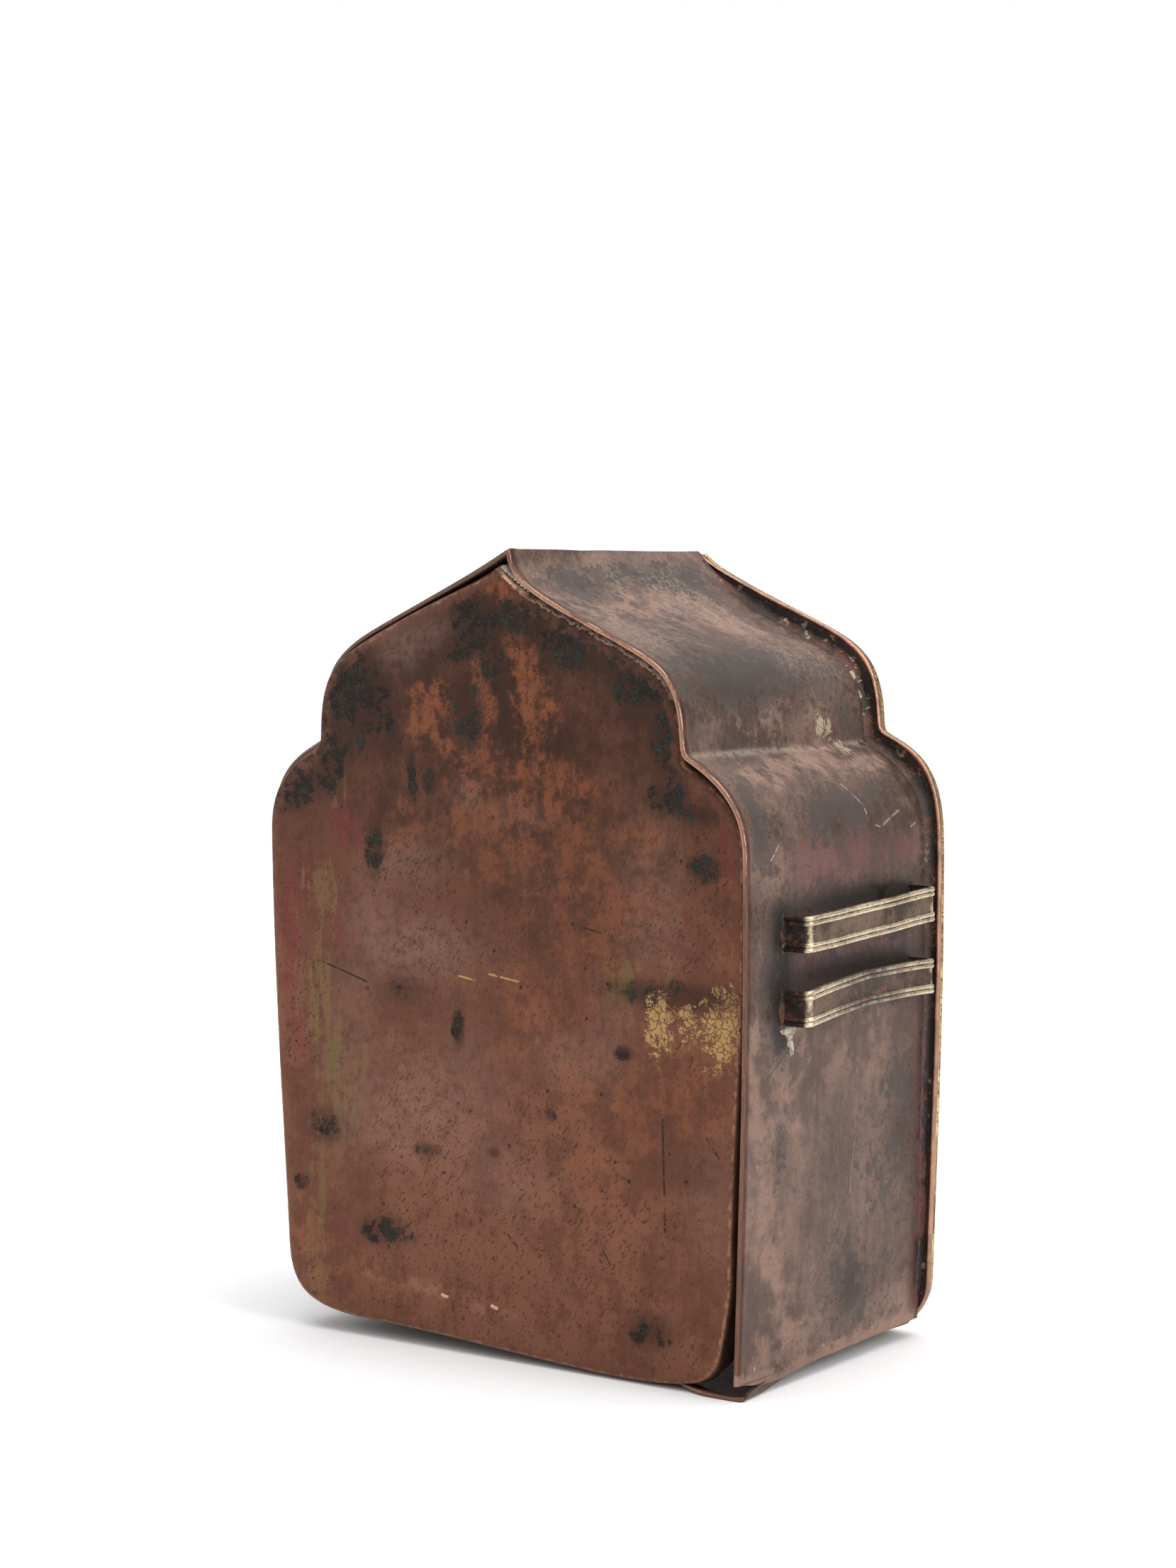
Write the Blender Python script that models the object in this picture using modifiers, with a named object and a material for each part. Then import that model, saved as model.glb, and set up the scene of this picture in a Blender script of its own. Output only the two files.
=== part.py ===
# Travelling gau box: a bent copper case with a back cover, a front frame, a gilt
# face with a window, and four strap loops.
# Metres, +Z up, origin at the bottom centre. The window faces -Y, the back cover +Y.

import math

import bmesh
import bpy
from mathutils import Vector

MM = 0.001
TOUCH_GAP = 0.3 * MM  # between pieces that are soldered or rest together

# Case outline, measured from the bottom line of the case
CASE_HEIGHT = 150.0 * MM
TIP_SHIFT = 5.0 * MM  # the tip stands off centre, towards -X
SLOPE_HALF = 24.0 * MM
SLOPE_HEIGHT = 136.1 * MM
SLOPE_ANGLE = math.radians(24.0)
NOTCH_HALF = 44.4 * MM
NOTCH_HEIGHT = 113.2 * MM
NOTCH_ANGLE = math.radians(28.0)
SHOULDER_HALF = 56.7 * MM
SHOULDER_END = 95.0 * MM
BASE_HALF = 53.8 * MM
SIDE_BELLY = 1.4 * MM
FAR_EXTRA = 1.4 * MM  # the +X half is this much fuller than the -X half
HAND_LEAN = 0.012  # rise in height for each unit towards +X, as the box was made

# Handles of the outline's curves
TIP_CURL_BACK = Vector((-0.8 * MM, -5.5 * MM))
TIP_CURL_FRONT = Vector((3.0 * MM, -3.0 * MM))
TIP_STRAIGHT = Vector((9.0 * MM, -4.8 * MM))
SLOPE_HANDLE_IN = 12.0 * MM
SLOPE_HANDLE_OUT = 17.0 * MM
LOBE_HANDLE = 15.4 * MM
NOTCH_HANDLE = 6.5 * MM
SHOULDER_HANDLE = 10.7 * MM
SIDE_HANDLE = 30.0 * MM

# How much the outline's corners move for each unit that it is offset
NOTCH_GROW = Vector((0.75, 0.6))
TIP_GROW = 0.5
LOBE_ROUNDS = 0.2
SHOULDER_ROUNDS = 1.4

# Case sheet
SHEET = 0.9 * MM
CASE_DEPTH = 62.0 * MM  # from the cover's face to the front of the frame
CORNER_START = 15.0 * MM
CORNER_RUN = 21.8 * MM
CORNER_HANDLE = 11.5 * MM
CORNER_HANDLE_OUT = 17.0 * MM
LAP_GAP = 0.3 * MM
LAP_RADIUS = 1.5 * MM
LAP_EDGE = -0.35 * MM
LAP_TRIM_FRONT = 1.5 * MM
FLANGE_BACK = 1.4 * MM
FLANGE_FRONT = 5.0 * MM
EDGE_PROUD = 1.8 * MM  # how far the -X edge stands behind the cover's face
EDGE_PROUD_TIP = 0.7 * MM
EDGE_SET_BACK = 3.0 * MM  # how far the +X and bottom edges stop short of it
EDGE_FLARE = 0.45 * MM
FLARE_REACH = 0.22 * MM  # what the flared edge gains in depth when it is thickened
FLARE_LENGTH = 1.8 * MM
SAG_DEPTH = 2.1 * MM  # the loose corner of the bottom
SAG_RUN = 30.0 * MM
SAG_FROM_SIDE = 3.8 * MM
SAG_FLAT = 7.0 * MM
SAG_LENGTH = 34.0 * MM
TURN_FROM_SIDE = 6.8 * MM
TURN_RUN = 4.0 * MM
RING_PLACES = (8.0 * MM, 15.0 * MM, 23.0 * MM, 33.0 * MM, 46.0 * MM)

# Back cover
COVER_SHEET = 0.9 * MM
COVER_CLEARANCE = 0.4 * MM
COVER_DROP = 0.8 * MM  # more play above the cover's -X shoulder
COVER_TIP_DROP = 2.7 * MM
COVER_TIP_SHIFT = 1.8 * MM
COVER_TIP_CURL = Vector((1.2 * MM, -3.6 * MM))
COVER_TIP_SLOPE = Vector((3.3 * MM, -2.6 * MM))
COVER_ROUND = 1.4 * MM
COVER_WALL = 12.0 * MM
COVER_LIP = 2.5 * MM
COVER_PINCH = 1.9 * MM  # the lower -X edge is pressed inwards
COVER_LOW_SIDE = 18.0 * MM
COVER_LOW_RUN = 10.8 * MM
COVER_BOTTOM = 0.3 * MM
COVER_BOW = 3.3 * MM

# Front frame
FRAME_SHEET = 1.3 * MM
FRAME_OVERHANG = 3.8 * MM
FRAME_INSIDE = 6.0 * MM
FRAME_DROP = 0.8 * MM
FRAME_CORNER = 10.0 * MM
FRAME_ROUND = 0.4 * MM

# Gilt face
FACE_SHEET = 0.8 * MM
FACE_INSET = 0.5 * MM
FACE_BORDER = 2.4 * MM
FACE_RELIEF = 0.8 * MM
WINDOW_HALF = 27.0 * MM
WINDOW_BOTTOM = 30.0 * MM
WINDOW_SPRING = 74.0 * MM
WINDOW_TIP = 108.0 * MM
WINDOW_MOULDING = 4.0 * MM

# Strap loops
LOOP_WIDTH = 6.5 * MM
LOOP_SHEET = 0.9 * MM
LOOP_RIB = 0.35 * MM
LOOP_RIB_WIDTH = 1.5 * MM
LOOP_STANDOFF = 7.0 * MM
LOOP_REAR = 10.3 * MM
LOOP_SPAN = 44.0 * MM
LOOP_CORNER = 1.3 * MM
UPPER_LOOP = 81.1 * MM
LOWER_LOOP = 67.8 * MM
UPPER_RISE = 2.1 * MM
LOWER_RISE = 1.7 * MM
LOWER_KINK = 0.9 * MM

# Steps along each stretch of an outline
SLOPE_STEPS = 8
LOBE_STEPS = 10
SHOULDER_STEPS = 8
SIDE_STEPS = 6
CORNER_STEPS = 6
BOTTOM_STEPS = 6

# Places in depth: the cover's face is at BACK, and depth is counted from it
FACE_FRONT = CASE_DEPTH + TOUCH_GAP + FACE_SHEET + FACE_RELIEF
BACK = (FACE_FRONT - EDGE_PROUD - FLARE_REACH) / 2
SAG_FULL = BASE_HALF - SAG_FROM_SIDE
SAG_START = SAG_FULL - SAG_RUN
FLOOR_LIFT = SAG_DEPTH + HAND_LEAN * (SAG_FULL + FAR_EXTRA / 2)
CASE_FRONT = CASE_DEPTH - FRAME_SHEET - TOUCH_GAP


def bezier(start, handle_a, handle_b, end, steps):
    """The points of a cubic curve after its start."""
    points = []
    for step in range(1, steps + 1):
        t = step / steps
        u = 1 - t
        point = start * u**3 + handle_a * (3 * u * u * t)
        point += handle_b * (3 * u * t * t) + end * t**3
        points.append(point)
    return points


def ease(value):
    """0 below 0, 1 above 1, and a smooth step between."""
    t = min(1.0, max(0.0, value))
    return t * t * (3 - 2 * t)


def mix(a, b, share):
    return a + (b - a) * share


def spread(side, grow):
    """The offset of the case outline's widest stretches on one side."""
    return grow + FAR_EXTRA if side > 0 else grow


def case_half(side, grow=0.0, curl=0.0, level=0.0):
    """One half of the case outline, from the tip to the shoulder's end.

    side is -1 or +1, grow moves the outline outwards, and curl is 1 at the back.
    Where grow equals level, the tip is level with the ridge of the case. Each
    stretch is a list of points with the half's own width as first number.
    """
    wide = spread(side, grow)
    out = Vector((math.sin(SLOPE_ANGLE), math.cos(SLOPE_ANGLE))) * wide
    along = Vector((math.cos(SLOPE_ANGLE), -math.sin(SLOPE_ANGLE)))
    tip = Vector((-side * TIP_SHIFT, CASE_HEIGHT + (grow - level) * TIP_GROW))
    slope = Vector((SLOPE_HALF, SLOPE_HEIGHT)) + out
    notch = Vector((NOTCH_HALF, NOTCH_HEIGHT)) + NOTCH_GROW * grow
    shoulder = Vector((SHOULDER_HALF + wide, SHOULDER_END))
    lobe_handle = LOBE_HANDLE + LOBE_ROUNDS * grow
    shoulder_handle = SHOULDER_HANDLE + SHOULDER_ROUNDS * wide
    first = TIP_STRAIGHT
    if side < 0:
        first = TIP_CURL_FRONT.lerp(TIP_CURL_BACK, curl)
    away = Vector((math.cos(NOTCH_ANGLE), -math.sin(NOTCH_ANGLE)))
    upright = Vector((0, 1))
    return [
        [tip],
        bezier(tip, tip + first, slope - along * SLOPE_HANDLE_IN, slope, SLOPE_STEPS),
        bezier(
            slope,
            slope + along * SLOPE_HANDLE_OUT,
            notch + upright * lobe_handle,
            notch,
            LOBE_STEPS,
        ),
        bezier(
            notch,
            notch + away * NOTCH_HANDLE,
            shoulder + upright * shoulder_handle,
            shoulder,
            SHOULDER_STEPS,
        ),
    ]


def side_line(grow, low, steps=SIDE_STEPS):
    """The side below the shoulder, down to the height low."""
    top = Vector((SHOULDER_HALF + grow, SHOULDER_END))
    end = Vector((BASE_HALF + grow, low))
    handle = Vector((0, SIDE_HANDLE))
    belly = Vector((SIDE_BELLY, 0))
    return bezier(top, top - handle, end + handle + belly, end, steps)


def side_place(side, height):
    """The half width of the case at a height on one side, read off side_line."""
    wide = spread(side, 0.0)
    line = [Vector((SHOULDER_HALF + wide, SHOULDER_END)), *side_line(wide, LAP_EDGE)]
    for high, low in zip(line, line[1:]):
        if high.y >= height >= low.y:
            share = (high.y - height) / (high.y - low.y)
            return mix(high.x, low.x, share)
    return SHOULDER_HALF + wide


def placed(point, side=1):
    """A point of an outline as (x, height), with the lean of the whole box."""
    x = side * point.x - FAR_EXTRA / 2
    return Vector((x, point.y + HAND_LEAN * x + FLOOR_LIFT))


def at_depth(flat, depth):
    """A flat outline point at a depth behind the cover's face."""
    return Vector((flat.x, BACK - depth, flat.y))


def closed_outline(grow, corner, bottom):
    """A whole outline with two rounded lower corners, round from the tip by -X.

    Its tip stays level with the case's ridge at the frame's outer edge.
    """
    loop = []
    for side in (-1, 1):
        stretches = case_half(side, grow, level=FRAME_OVERHANG)
        half = [p for stretch in stretches for p in stretch]
        wide = spread(side, grow)
        half += side_line(wide, bottom + corner)
        width = BASE_HALF + wide
        start = half[-1]
        end = Vector((width - corner, bottom))
        square = Vector((width, bottom))
        near = start.lerp(square, 0.55)
        far = end.lerp(square, 0.55)
        half += bezier(start, near, far, end, CORNER_STEPS)
        half = [placed(p, side) for p in half]
        loop.append(half)
    right, left = loop
    bridge = [right[-1].lerp(left[-1], k / BOTTOM_STEPS) for k in range(1, BOTTOM_STEPS)]
    return right + bridge + left[:0:-1]


def sheet_object(name, rows, closed, thickness, offset=-1.0, cap=False):
    """A sheet lofted through rows of points that differ, thickened by Solidify."""
    bm = bmesh.new()
    grid = [[bm.verts.new(point) for point in row] for row in rows]
    count = len(rows[0])
    for near, far in zip(grid, grid[1:]):
        for k in range(count if closed else count - 1):
            nxt = (k + 1) % count
            bm.faces.new((near[k], near[nxt], far[nxt], far[k]))
    if cap:
        bm.faces.new(grid[0][::-1])
    bmesh.ops.recalc_face_normals(bm, faces=bm.faces)
    mesh = bpy.data.meshes.new(name)
    bm.to_mesh(mesh)
    bm.free()
    obj = bpy.data.objects.new(name, mesh)
    solid = obj.modifiers.new("thickness", "SOLIDIFY")
    solid.thickness = thickness
    solid.offset = offset
    solid.use_even_offset = True
    solid.use_quality_normals = True
    return obj


def finish(obj, collection, material):
    collection.objects.link(obj)
    obj.data.materials.append(material)
    obj.data.shade_smooth()
    obj.data.set_sharp_from_angle(angle=math.radians(35))
    return obj


def make_material(name, colour, roughness, metallic):
    material = bpy.data.materials.new(name)
    material.use_nodes = True
    shader = material.node_tree.nodes["Principled BSDF"]
    shader.inputs["Base Color"].default_value = (*colour, 1.0)
    shader.inputs["Roughness"].default_value = roughness
    shader.inputs["Metallic"].default_value = metallic
    return material


def case_stretches(grow, curl, trim, flange, sag):
    """The case strip in one section, as stretches of (points, back edge depth)."""
    near = case_half(-1, grow, curl)
    far = case_half(1, grow, curl)
    wide = spread(1, grow)
    low = LAP_EDGE + trim
    proud, set_back = -EDGE_PROUD, EDGE_SET_BACK
    half = side_line(grow, low)[::-1] + [near[3][-1]]
    stretches = [([placed(p, -1) for p in half], proud, proud)]
    for points, start, first, last in (
        (near[3], near[2][-1], proud, -EDGE_PROUD * 0.9),
        (near[2], near[1][-1], -EDGE_PROUD * 0.9, -EDGE_PROUD * 0.7),
        (near[1], near[0][-1], -EDGE_PROUD * 0.7, -EDGE_PROUD_TIP),
    ):
        back = points[-2::-1] + [start]
        stretches.append(([placed(p, -1) for p in back], first, last))
    for points, first, last in (
        (far[1], -EDGE_PROUD_TIP, set_back * 0.7),
        (far[2], set_back * 0.7, set_back * 0.9),
        (far[3], set_back * 0.9, set_back),
        (side_line(wide, CORNER_START), set_back, set_back),
    ):
        stretches.append(([placed(p) for p in points], first, last))
    start = Vector((BASE_HALF + wide, CORNER_START))
    end = Vector((BASE_HALF + wide - CORNER_RUN, 0.0))
    corner = bezier(
        start,
        start - Vector((0, CORNER_HANDLE)),
        end + Vector((CORNER_HANDLE_OUT, 0)),
        end,
        CORNER_STEPS,
    )
    stretches.append(([placed(p) for p in corner], set_back, set_back))
    wall = BASE_HALF - SHEET - LAP_GAP
    turn_end = BASE_HALF - TURN_FROM_SIDE
    turn_start = turn_end - TURN_RUN
    floor_ends = (
        (end.x, -SAG_START, 4, set_back, set_back),
        (-SAG_START, -turn_start, 5, set_back, set_back),
        (-turn_start, -turn_end, 3, set_back, -LAP_GAP),
        (-turn_end, -(wall - LAP_RADIUS), 2, -LAP_GAP, -LAP_GAP),
    )
    for first_x, last_x, steps, first, last in floor_ends:
        points = []
        for step in range(1, steps + 1):
            x = mix(first_x, last_x, step / steps)
            points.append(placed(Vector((x, -sag * sag_share(x)))))
        stretches.append((points, first, last))
    bend = []
    for step in range(1, 4):
        turn = math.radians(30) * step
        x = -(wall - LAP_RADIUS) - LAP_RADIUS * math.sin(turn)
        bend.append(placed(Vector((x, LAP_RADIUS * (1 - math.cos(turn)) - sag))))
    bend.append(placed(Vector((-wall, LAP_RADIUS + flange - sag))))
    stretches.append((bend, -LAP_GAP, 0.0))
    return stretches


def sag_share(x):
    return ease((-x - SAG_START) / (SAG_FULL - SAG_START))


def case_section(depth_of, flare, curl, trim, flange, sag):
    """One row of the case strip. depth_of gives a point's depth from its back edge."""
    row = []
    for points, first, last in case_stretches(flare, curl, trim, flange, sag):
        for k, point in enumerate(points):
            edge = mix(first, last, ease((k + 1) / len(points)))
            row.append(at_depth(point, depth_of(edge)))
    return row


def make_case(collection, material):
    depths = [lambda edge: edge, lambda edge: edge + FLARE_LENGTH]
    nominal = [0.0, FLARE_LENGTH]
    for place in (*RING_PLACES, CASE_FRONT):
        depths.append(lambda edge, place=place: place)
        nominal.append(place)
    rows = []
    for depth_of, depth in zip(depths, nominal):
        share = depth / CASE_FRONT
        rows.append(
            case_section(
                depth_of,
                flare=EDGE_FLARE if depth == 0 else 0.0,
                curl=1 - ease(depth / SAG_LENGTH),
                trim=LAP_TRIM_FRONT * share**2,
                flange=mix(FLANGE_BACK, FLANGE_FRONT, ease(share * 2 - 0.4)),
                sag=SAG_DEPTH * (1 - ease((depth - SAG_FLAT) / (SAG_LENGTH - SAG_FLAT))),
            )
        )
    obj = sheet_object("case_band", rows, closed=False, thickness=SHEET)
    return finish(obj, collection, material)


def cover_outline(inset):
    """The back cover's outline, and where its bottom stretch starts and ends.

    It follows the case inside its sheet, with COVER_DROP of play above its -X
    shoulder, and it is pressed inwards at its lower -X corner. inset moves it
    inwards, for the rounded edge.
    """
    grow = -(SHEET + COVER_CLEARANCE + inset)
    halves = []
    for side in (-1, 1):
        drop = Vector((0, COVER_DROP if side < 0 else 0))
        stretches = case_half(side, grow, curl=1.0)
        tip = Vector((-side * COVER_TIP_SHIFT, CASE_HEIGHT - COVER_TIP_DROP - inset))
        slope = stretches[1][-1]
        along = Vector((math.cos(SLOPE_ANGLE), -math.sin(SLOPE_ANGLE)))
        rise = slope - along * SLOPE_HANDLE_IN
        first = tip + (COVER_TIP_CURL if side < 0 else COVER_TIP_SLOPE)
        half = [tip, *bezier(tip, first, rise, slope, SLOPE_STEPS)]
        for k, point in enumerate(stretches[2], 1):
            half.append(point - drop * ease(k / LOBE_STEPS))
        for k, point in enumerate(stretches[3], 1):
            half.append(point - drop * (1 - k / SHOULDER_STEPS))
        halves.append(half)
    near, far = halves
    wide = spread(1, grow)
    low_side = Vector((BASE_HALF + grow - COVER_PINCH * 0.4, COVER_LOW_SIDE))
    low_end = Vector((BASE_HALF - COVER_LOW_RUN - inset, -COVER_BOTTOM + inset))
    near += pressed_side(grow, low_side)
    near += bezier(
        low_side,
        low_side - Vector((COVER_PINCH, COVER_LOW_SIDE * 0.6)),
        Vector((low_side.x - COVER_PINCH * 1.6, low_end.y)),
        low_end,
        CORNER_STEPS + 2,
    )
    far += side_line(wide, CORNER_START)
    start = Vector((BASE_HALF + wide, CORNER_START))
    end = Vector((BASE_HALF + wide - CORNER_RUN, COVER_BOTTOM + inset))
    far += bezier(
        start,
        start - Vector((0, CORNER_HANDLE)),
        end + Vector((CORNER_HANDLE_OUT, 0)),
        end,
        CORNER_STEPS,
    )
    near = [placed(p, -1) for p in near]
    far = [placed(p) for p in far]
    bow = Vector((0, COVER_BOW))
    first, last = near[-1], far[-1]
    bottom = bezier(
        first,
        first.lerp(last, 0.2) - bow,
        first.lerp(last, 0.55),
        last,
        BOTTOM_STEPS * 2,
    )
    low_from = len(near) - 4
    low_to = len(near) + len(bottom) + CORNER_STEPS
    return near + bottom[:-1] + far[:0:-1], low_from, low_to


def pressed_side(grow, low_side):
    top = Vector((SHOULDER_HALF + grow, SHOULDER_END))
    handle = Vector((0, SIDE_HANDLE))
    return bezier(top, top - handle, low_side + handle * 0.8, low_side, SIDE_STEPS)


def make_cover(collection, material):
    turns = ((1.0, 0.0), (0.3, 0.3), (0.0, 1.0))
    rows = []
    for inset_share, depth_share in turns:
        loop = cover_outline(COVER_ROUND * inset_share)[0]
        rows.append([at_depth(p, COVER_ROUND * depth_share) for p in loop])
    loop, low_from, low_to = cover_outline(0.0)
    wall = []
    for k, point in enumerate(loop):
        before = ease((low_from - k) / 4)
        after = ease((k - low_to) / 3)
        share = max(before, after)
        wall.append(at_depth(point, mix(COVER_LIP, COVER_WALL, share)))
    rows.append(wall)
    obj = sheet_object("back_cover", rows, closed=True, thickness=COVER_SHEET, cap=True)
    return finish(obj, collection, material)


def make_frame(collection, material):
    depth = CASE_DEPTH - FRAME_SHEET
    rows = []
    for grow, bottom, corner in (
        (-FRAME_INSIDE, FRAME_INSIDE, FRAME_CORNER - FRAME_INSIDE),
        (FRAME_OVERHANG, -FRAME_DROP, FRAME_CORNER),
    ):
        loop = closed_outline(grow, corner, bottom)
        rows.append([at_depth(p, depth) for p in loop])
    obj = sheet_object("front_frame", rows, True, FRAME_SHEET, offset=1.0)
    finish(obj, collection, material)
    bevel = obj.modifiers.new("worn edge", "BEVEL")
    bevel.width = FRAME_ROUND
    bevel.segments = 1
    bevel.limit_method = "ANGLE"
    bevel.angle_limit = math.radians(60)
    return obj


def window_outline(grow):
    """An ogee arch with the same number of points as closed_outline."""
    loop = []
    for side in (-1, 1):
        tip = Vector((0, WINDOW_TIP + grow * 1.5))
        spring = Vector((WINDOW_HALF + grow, WINDOW_SPRING))
        low = Vector((WINDOW_HALF + grow, WINDOW_BOTTOM - grow))
        steps = SLOPE_STEPS + LOBE_STEPS + SHOULDER_STEPS
        rise = WINDOW_TIP - WINDOW_SPRING
        half = [tip]
        half += bezier(
            tip,
            tip + Vector((WINDOW_HALF * 0.3, -rise * 0.5)),
            spring + Vector((0, rise * 0.75)),
            spring,
            steps,
        )
        down = SIDE_STEPS + CORNER_STEPS
        half += [spring.lerp(low, k / down) for k in range(1, down + 1)]
        half = [placed(p, side) for p in half]
        loop.append(half)
    right, left = loop
    bridge = [right[-1].lerp(left[-1], k / BOTTOM_STEPS) for k in range(1, BOTTOM_STEPS)]
    return right + bridge + left[:0:-1]


def make_face(collection, material):
    depth = CASE_DEPTH + TOUCH_GAP + FACE_SHEET
    edge = FRAME_OVERHANG - FACE_INSET
    base = FACE_INSET - FRAME_DROP
    crest = ((0.0, 0.0), (0.35, 1.0), (0.65, 1.0), (1.0, 0.0))
    rows = []
    for share, lift in crest:
        inset = FACE_BORDER * share
        loop = closed_outline(edge - inset, FRAME_CORNER - inset, base + inset)
        rows.append([at_depth(p, depth + FACE_RELIEF * lift) for p in loop])
    for share, lift in crest:
        loop = window_outline(WINDOW_MOULDING * (1 - share))
        rows.append([at_depth(p, depth + FACE_RELIEF * lift) for p in loop])
    obj = sheet_object("front_face", rows, closed=True, thickness=FACE_SHEET)
    return finish(obj, collection, material)


def loop_path(rise, kink):
    """The strap loop seen from above, as (stand-off, depth, height change)."""
    out = LOOP_STANDOFF - LOOP_RIB
    near, far = LOOP_REAR, LOOP_REAR + LOOP_SPAN
    corner = LOOP_CORNER
    path = [(TOUCH_GAP, near)]
    for centre, turn_from in ((near + corner, 180), (far - corner, 90)):
        for step in range(4):
            turn = math.radians(turn_from - 30 * step)
            stand = out - corner + corner * math.sin(turn)
            path.append((stand, centre + corner * math.cos(turn)))
        if turn_from == 180:
            for share in (0.25, 0.5, 0.75):
                path.append((out - kink * 4 * share * (1 - share), mix(near, far, share)))
    path.append((TOUCH_GAP, far))
    return [
        (stand, depth, rise * (depth - near) / LOOP_SPAN + kink * bend_share(depth))
        for stand, depth in path
    ]


def bend_share(depth):
    share = (depth - LOOP_REAR) / LOOP_SPAN
    return 1 - abs(2 * share - 1)


def make_loop(name, side, height, rise, kink, collection, material):
    half = LOOP_WIDTH / 2
    groove = half - LOOP_RIB_WIDTH
    step_in = LOOP_RIB * 0.8
    profile = (
        (-half, 1.0),
        (-groove, 1.0),
        (-groove + step_in, 0.0),
        (groove - step_in, 0.0),
        (groove, 1.0),
        (half, 1.0),
    )
    path = loop_path(rise, kink)
    count = len(path)
    wall = side_place(side, height)
    rows = []
    for z_off, rib in profile:
        row = []
        for k, (stand, depth, lift) in enumerate(path):
            out, along = loop_normal(path, k)
            if k in (0, count - 1):
                out = 0.0
            x = wall + stand + out * LOOP_RIB * rib
            flat = placed(Vector((x, height + lift + z_off)), side)
            row.append(at_depth(flat, depth + along * LOOP_RIB * rib))
        rows.append(row)
    obj = sheet_object(name, rows, closed=False, thickness=LOOP_SHEET)
    return finish(obj, collection, material)


def loop_normal(path, k):
    """The outward direction of the loop at point k, as (stand-off, depth)."""
    before = path[max(0, k - 1)]
    after = path[min(len(path) - 1, k + 1)]
    run = Vector((after[0] - before[0], after[1] - before[1])).normalized()
    return run.y, -run.x


def main():
    for obj in list(bpy.data.objects):
        bpy.data.objects.remove(obj)
    collection = bpy.data.collections.new("gau_box")
    bpy.context.scene.collection.children.link(collection)
    make_case(collection, make_material("dark_copper", (0.20, 0.10, 0.08), 0.45, 1.0))
    make_cover(collection, make_material("red_copper", (0.27, 0.11, 0.06), 0.42, 1.0))
    make_frame(collection, make_material("worn_copper", (0.34, 0.15, 0.09), 0.38, 1.0))
    make_face(collection, make_material("gilt_sheet", (0.62, 0.46, 0.20), 0.35, 1.0))
    pale_brass = make_material("pale_brass", (0.50, 0.42, 0.30), 0.38, 1.0)
    for side, place in ((-1, "minus_x"), (1, "plus_x")):
        kink = LOWER_KINK if side < 0 else 0.0
        make_loop(f"strap_loop_upper_{place}", side, UPPER_LOOP, UPPER_RISE, 0.0, collection, pale_brass)
        make_loop(f"strap_loop_lower_{place}", side, LOWER_LOOP, LOWER_RISE, kink, collection, pale_brass)


main()
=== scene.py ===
# %% [markdown]
# # A travelling gau box
# A gau is a small metal shrine that is carried on a strap. Ours stands with its plain back
# towards the camera. The solids give every sheet its true place and size. Here each sheet is
# made again over the same outline, with rounded and worn edges, dents, solder, dirt and patina.

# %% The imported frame
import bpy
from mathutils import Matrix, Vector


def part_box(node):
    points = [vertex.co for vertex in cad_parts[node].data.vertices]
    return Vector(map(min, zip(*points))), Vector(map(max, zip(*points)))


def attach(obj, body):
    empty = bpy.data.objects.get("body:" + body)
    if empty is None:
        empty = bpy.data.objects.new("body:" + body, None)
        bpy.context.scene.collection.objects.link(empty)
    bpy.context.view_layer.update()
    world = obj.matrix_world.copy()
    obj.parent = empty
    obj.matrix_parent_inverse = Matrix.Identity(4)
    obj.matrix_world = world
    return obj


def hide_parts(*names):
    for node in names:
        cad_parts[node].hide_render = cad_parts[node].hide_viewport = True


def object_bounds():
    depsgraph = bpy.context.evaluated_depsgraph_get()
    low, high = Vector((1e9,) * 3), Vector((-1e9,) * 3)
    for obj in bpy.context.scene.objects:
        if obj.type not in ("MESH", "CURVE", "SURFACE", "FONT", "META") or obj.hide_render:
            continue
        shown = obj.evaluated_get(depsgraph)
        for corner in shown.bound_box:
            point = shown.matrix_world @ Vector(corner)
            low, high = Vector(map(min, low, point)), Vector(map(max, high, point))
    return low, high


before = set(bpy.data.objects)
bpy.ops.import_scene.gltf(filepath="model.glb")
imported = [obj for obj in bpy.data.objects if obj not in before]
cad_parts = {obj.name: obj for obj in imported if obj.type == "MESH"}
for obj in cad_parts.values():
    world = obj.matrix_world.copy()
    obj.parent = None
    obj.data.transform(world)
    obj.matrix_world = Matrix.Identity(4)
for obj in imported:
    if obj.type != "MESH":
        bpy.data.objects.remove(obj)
cad_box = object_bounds()
print("the solids reach from", cad_box[0], "to", cad_box[1])

# %% [markdown]
# ## The camera
# The box was seen from behind and a little to one side, from about 0.6 m. A camera placed that
# close shows the back edge clearly larger than the front one, so its place matters as much as
# its direction. We set the place, the heading, the tilt and a small roll.

# %% Camera
import math
from types import SimpleNamespace

import bmesh
import bpy
import numpy as np
from mathutils import Quaternion, Vector, noise

EYE = Vector((-0.3613, 0.4828, 0.1419))
HEADING = math.radians(216.83)
TILT = math.radians(3.28)
ROLL = math.radians(-0.62)
LENS = 71.2
SENSOR = 36.0

back = Vector((math.sin(HEADING), -math.cos(HEADING), math.tan(TILT)))
camera = bpy.data.objects.new("camera", bpy.data.cameras.new("camera"))
camera.data.sensor_width = SENSOR
camera.data.lens = LENS
camera.location = EYE
camera.rotation_mode = "QUATERNION"
camera.rotation_quaternion = (-back).to_track_quat("-Z", "Y") @ Quaternion((0, 0, 1), ROLL)
bpy.context.scene.collection.objects.link(camera)
bpy.context.scene.camera = camera
print("camera", round(EYE.length, 3), "m from the foot of the box")

# %% [markdown]
# ## The outline
# One outline drives every sheet: an ogee point, a lobe, a notch and a shoulder on each side.
# Curves with handles describe it in a few sizes, which are those of the solids, in millimetres.
# The +X half is a little fuller than the -X half, and the whole box leans, as a hammered box does.

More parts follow.
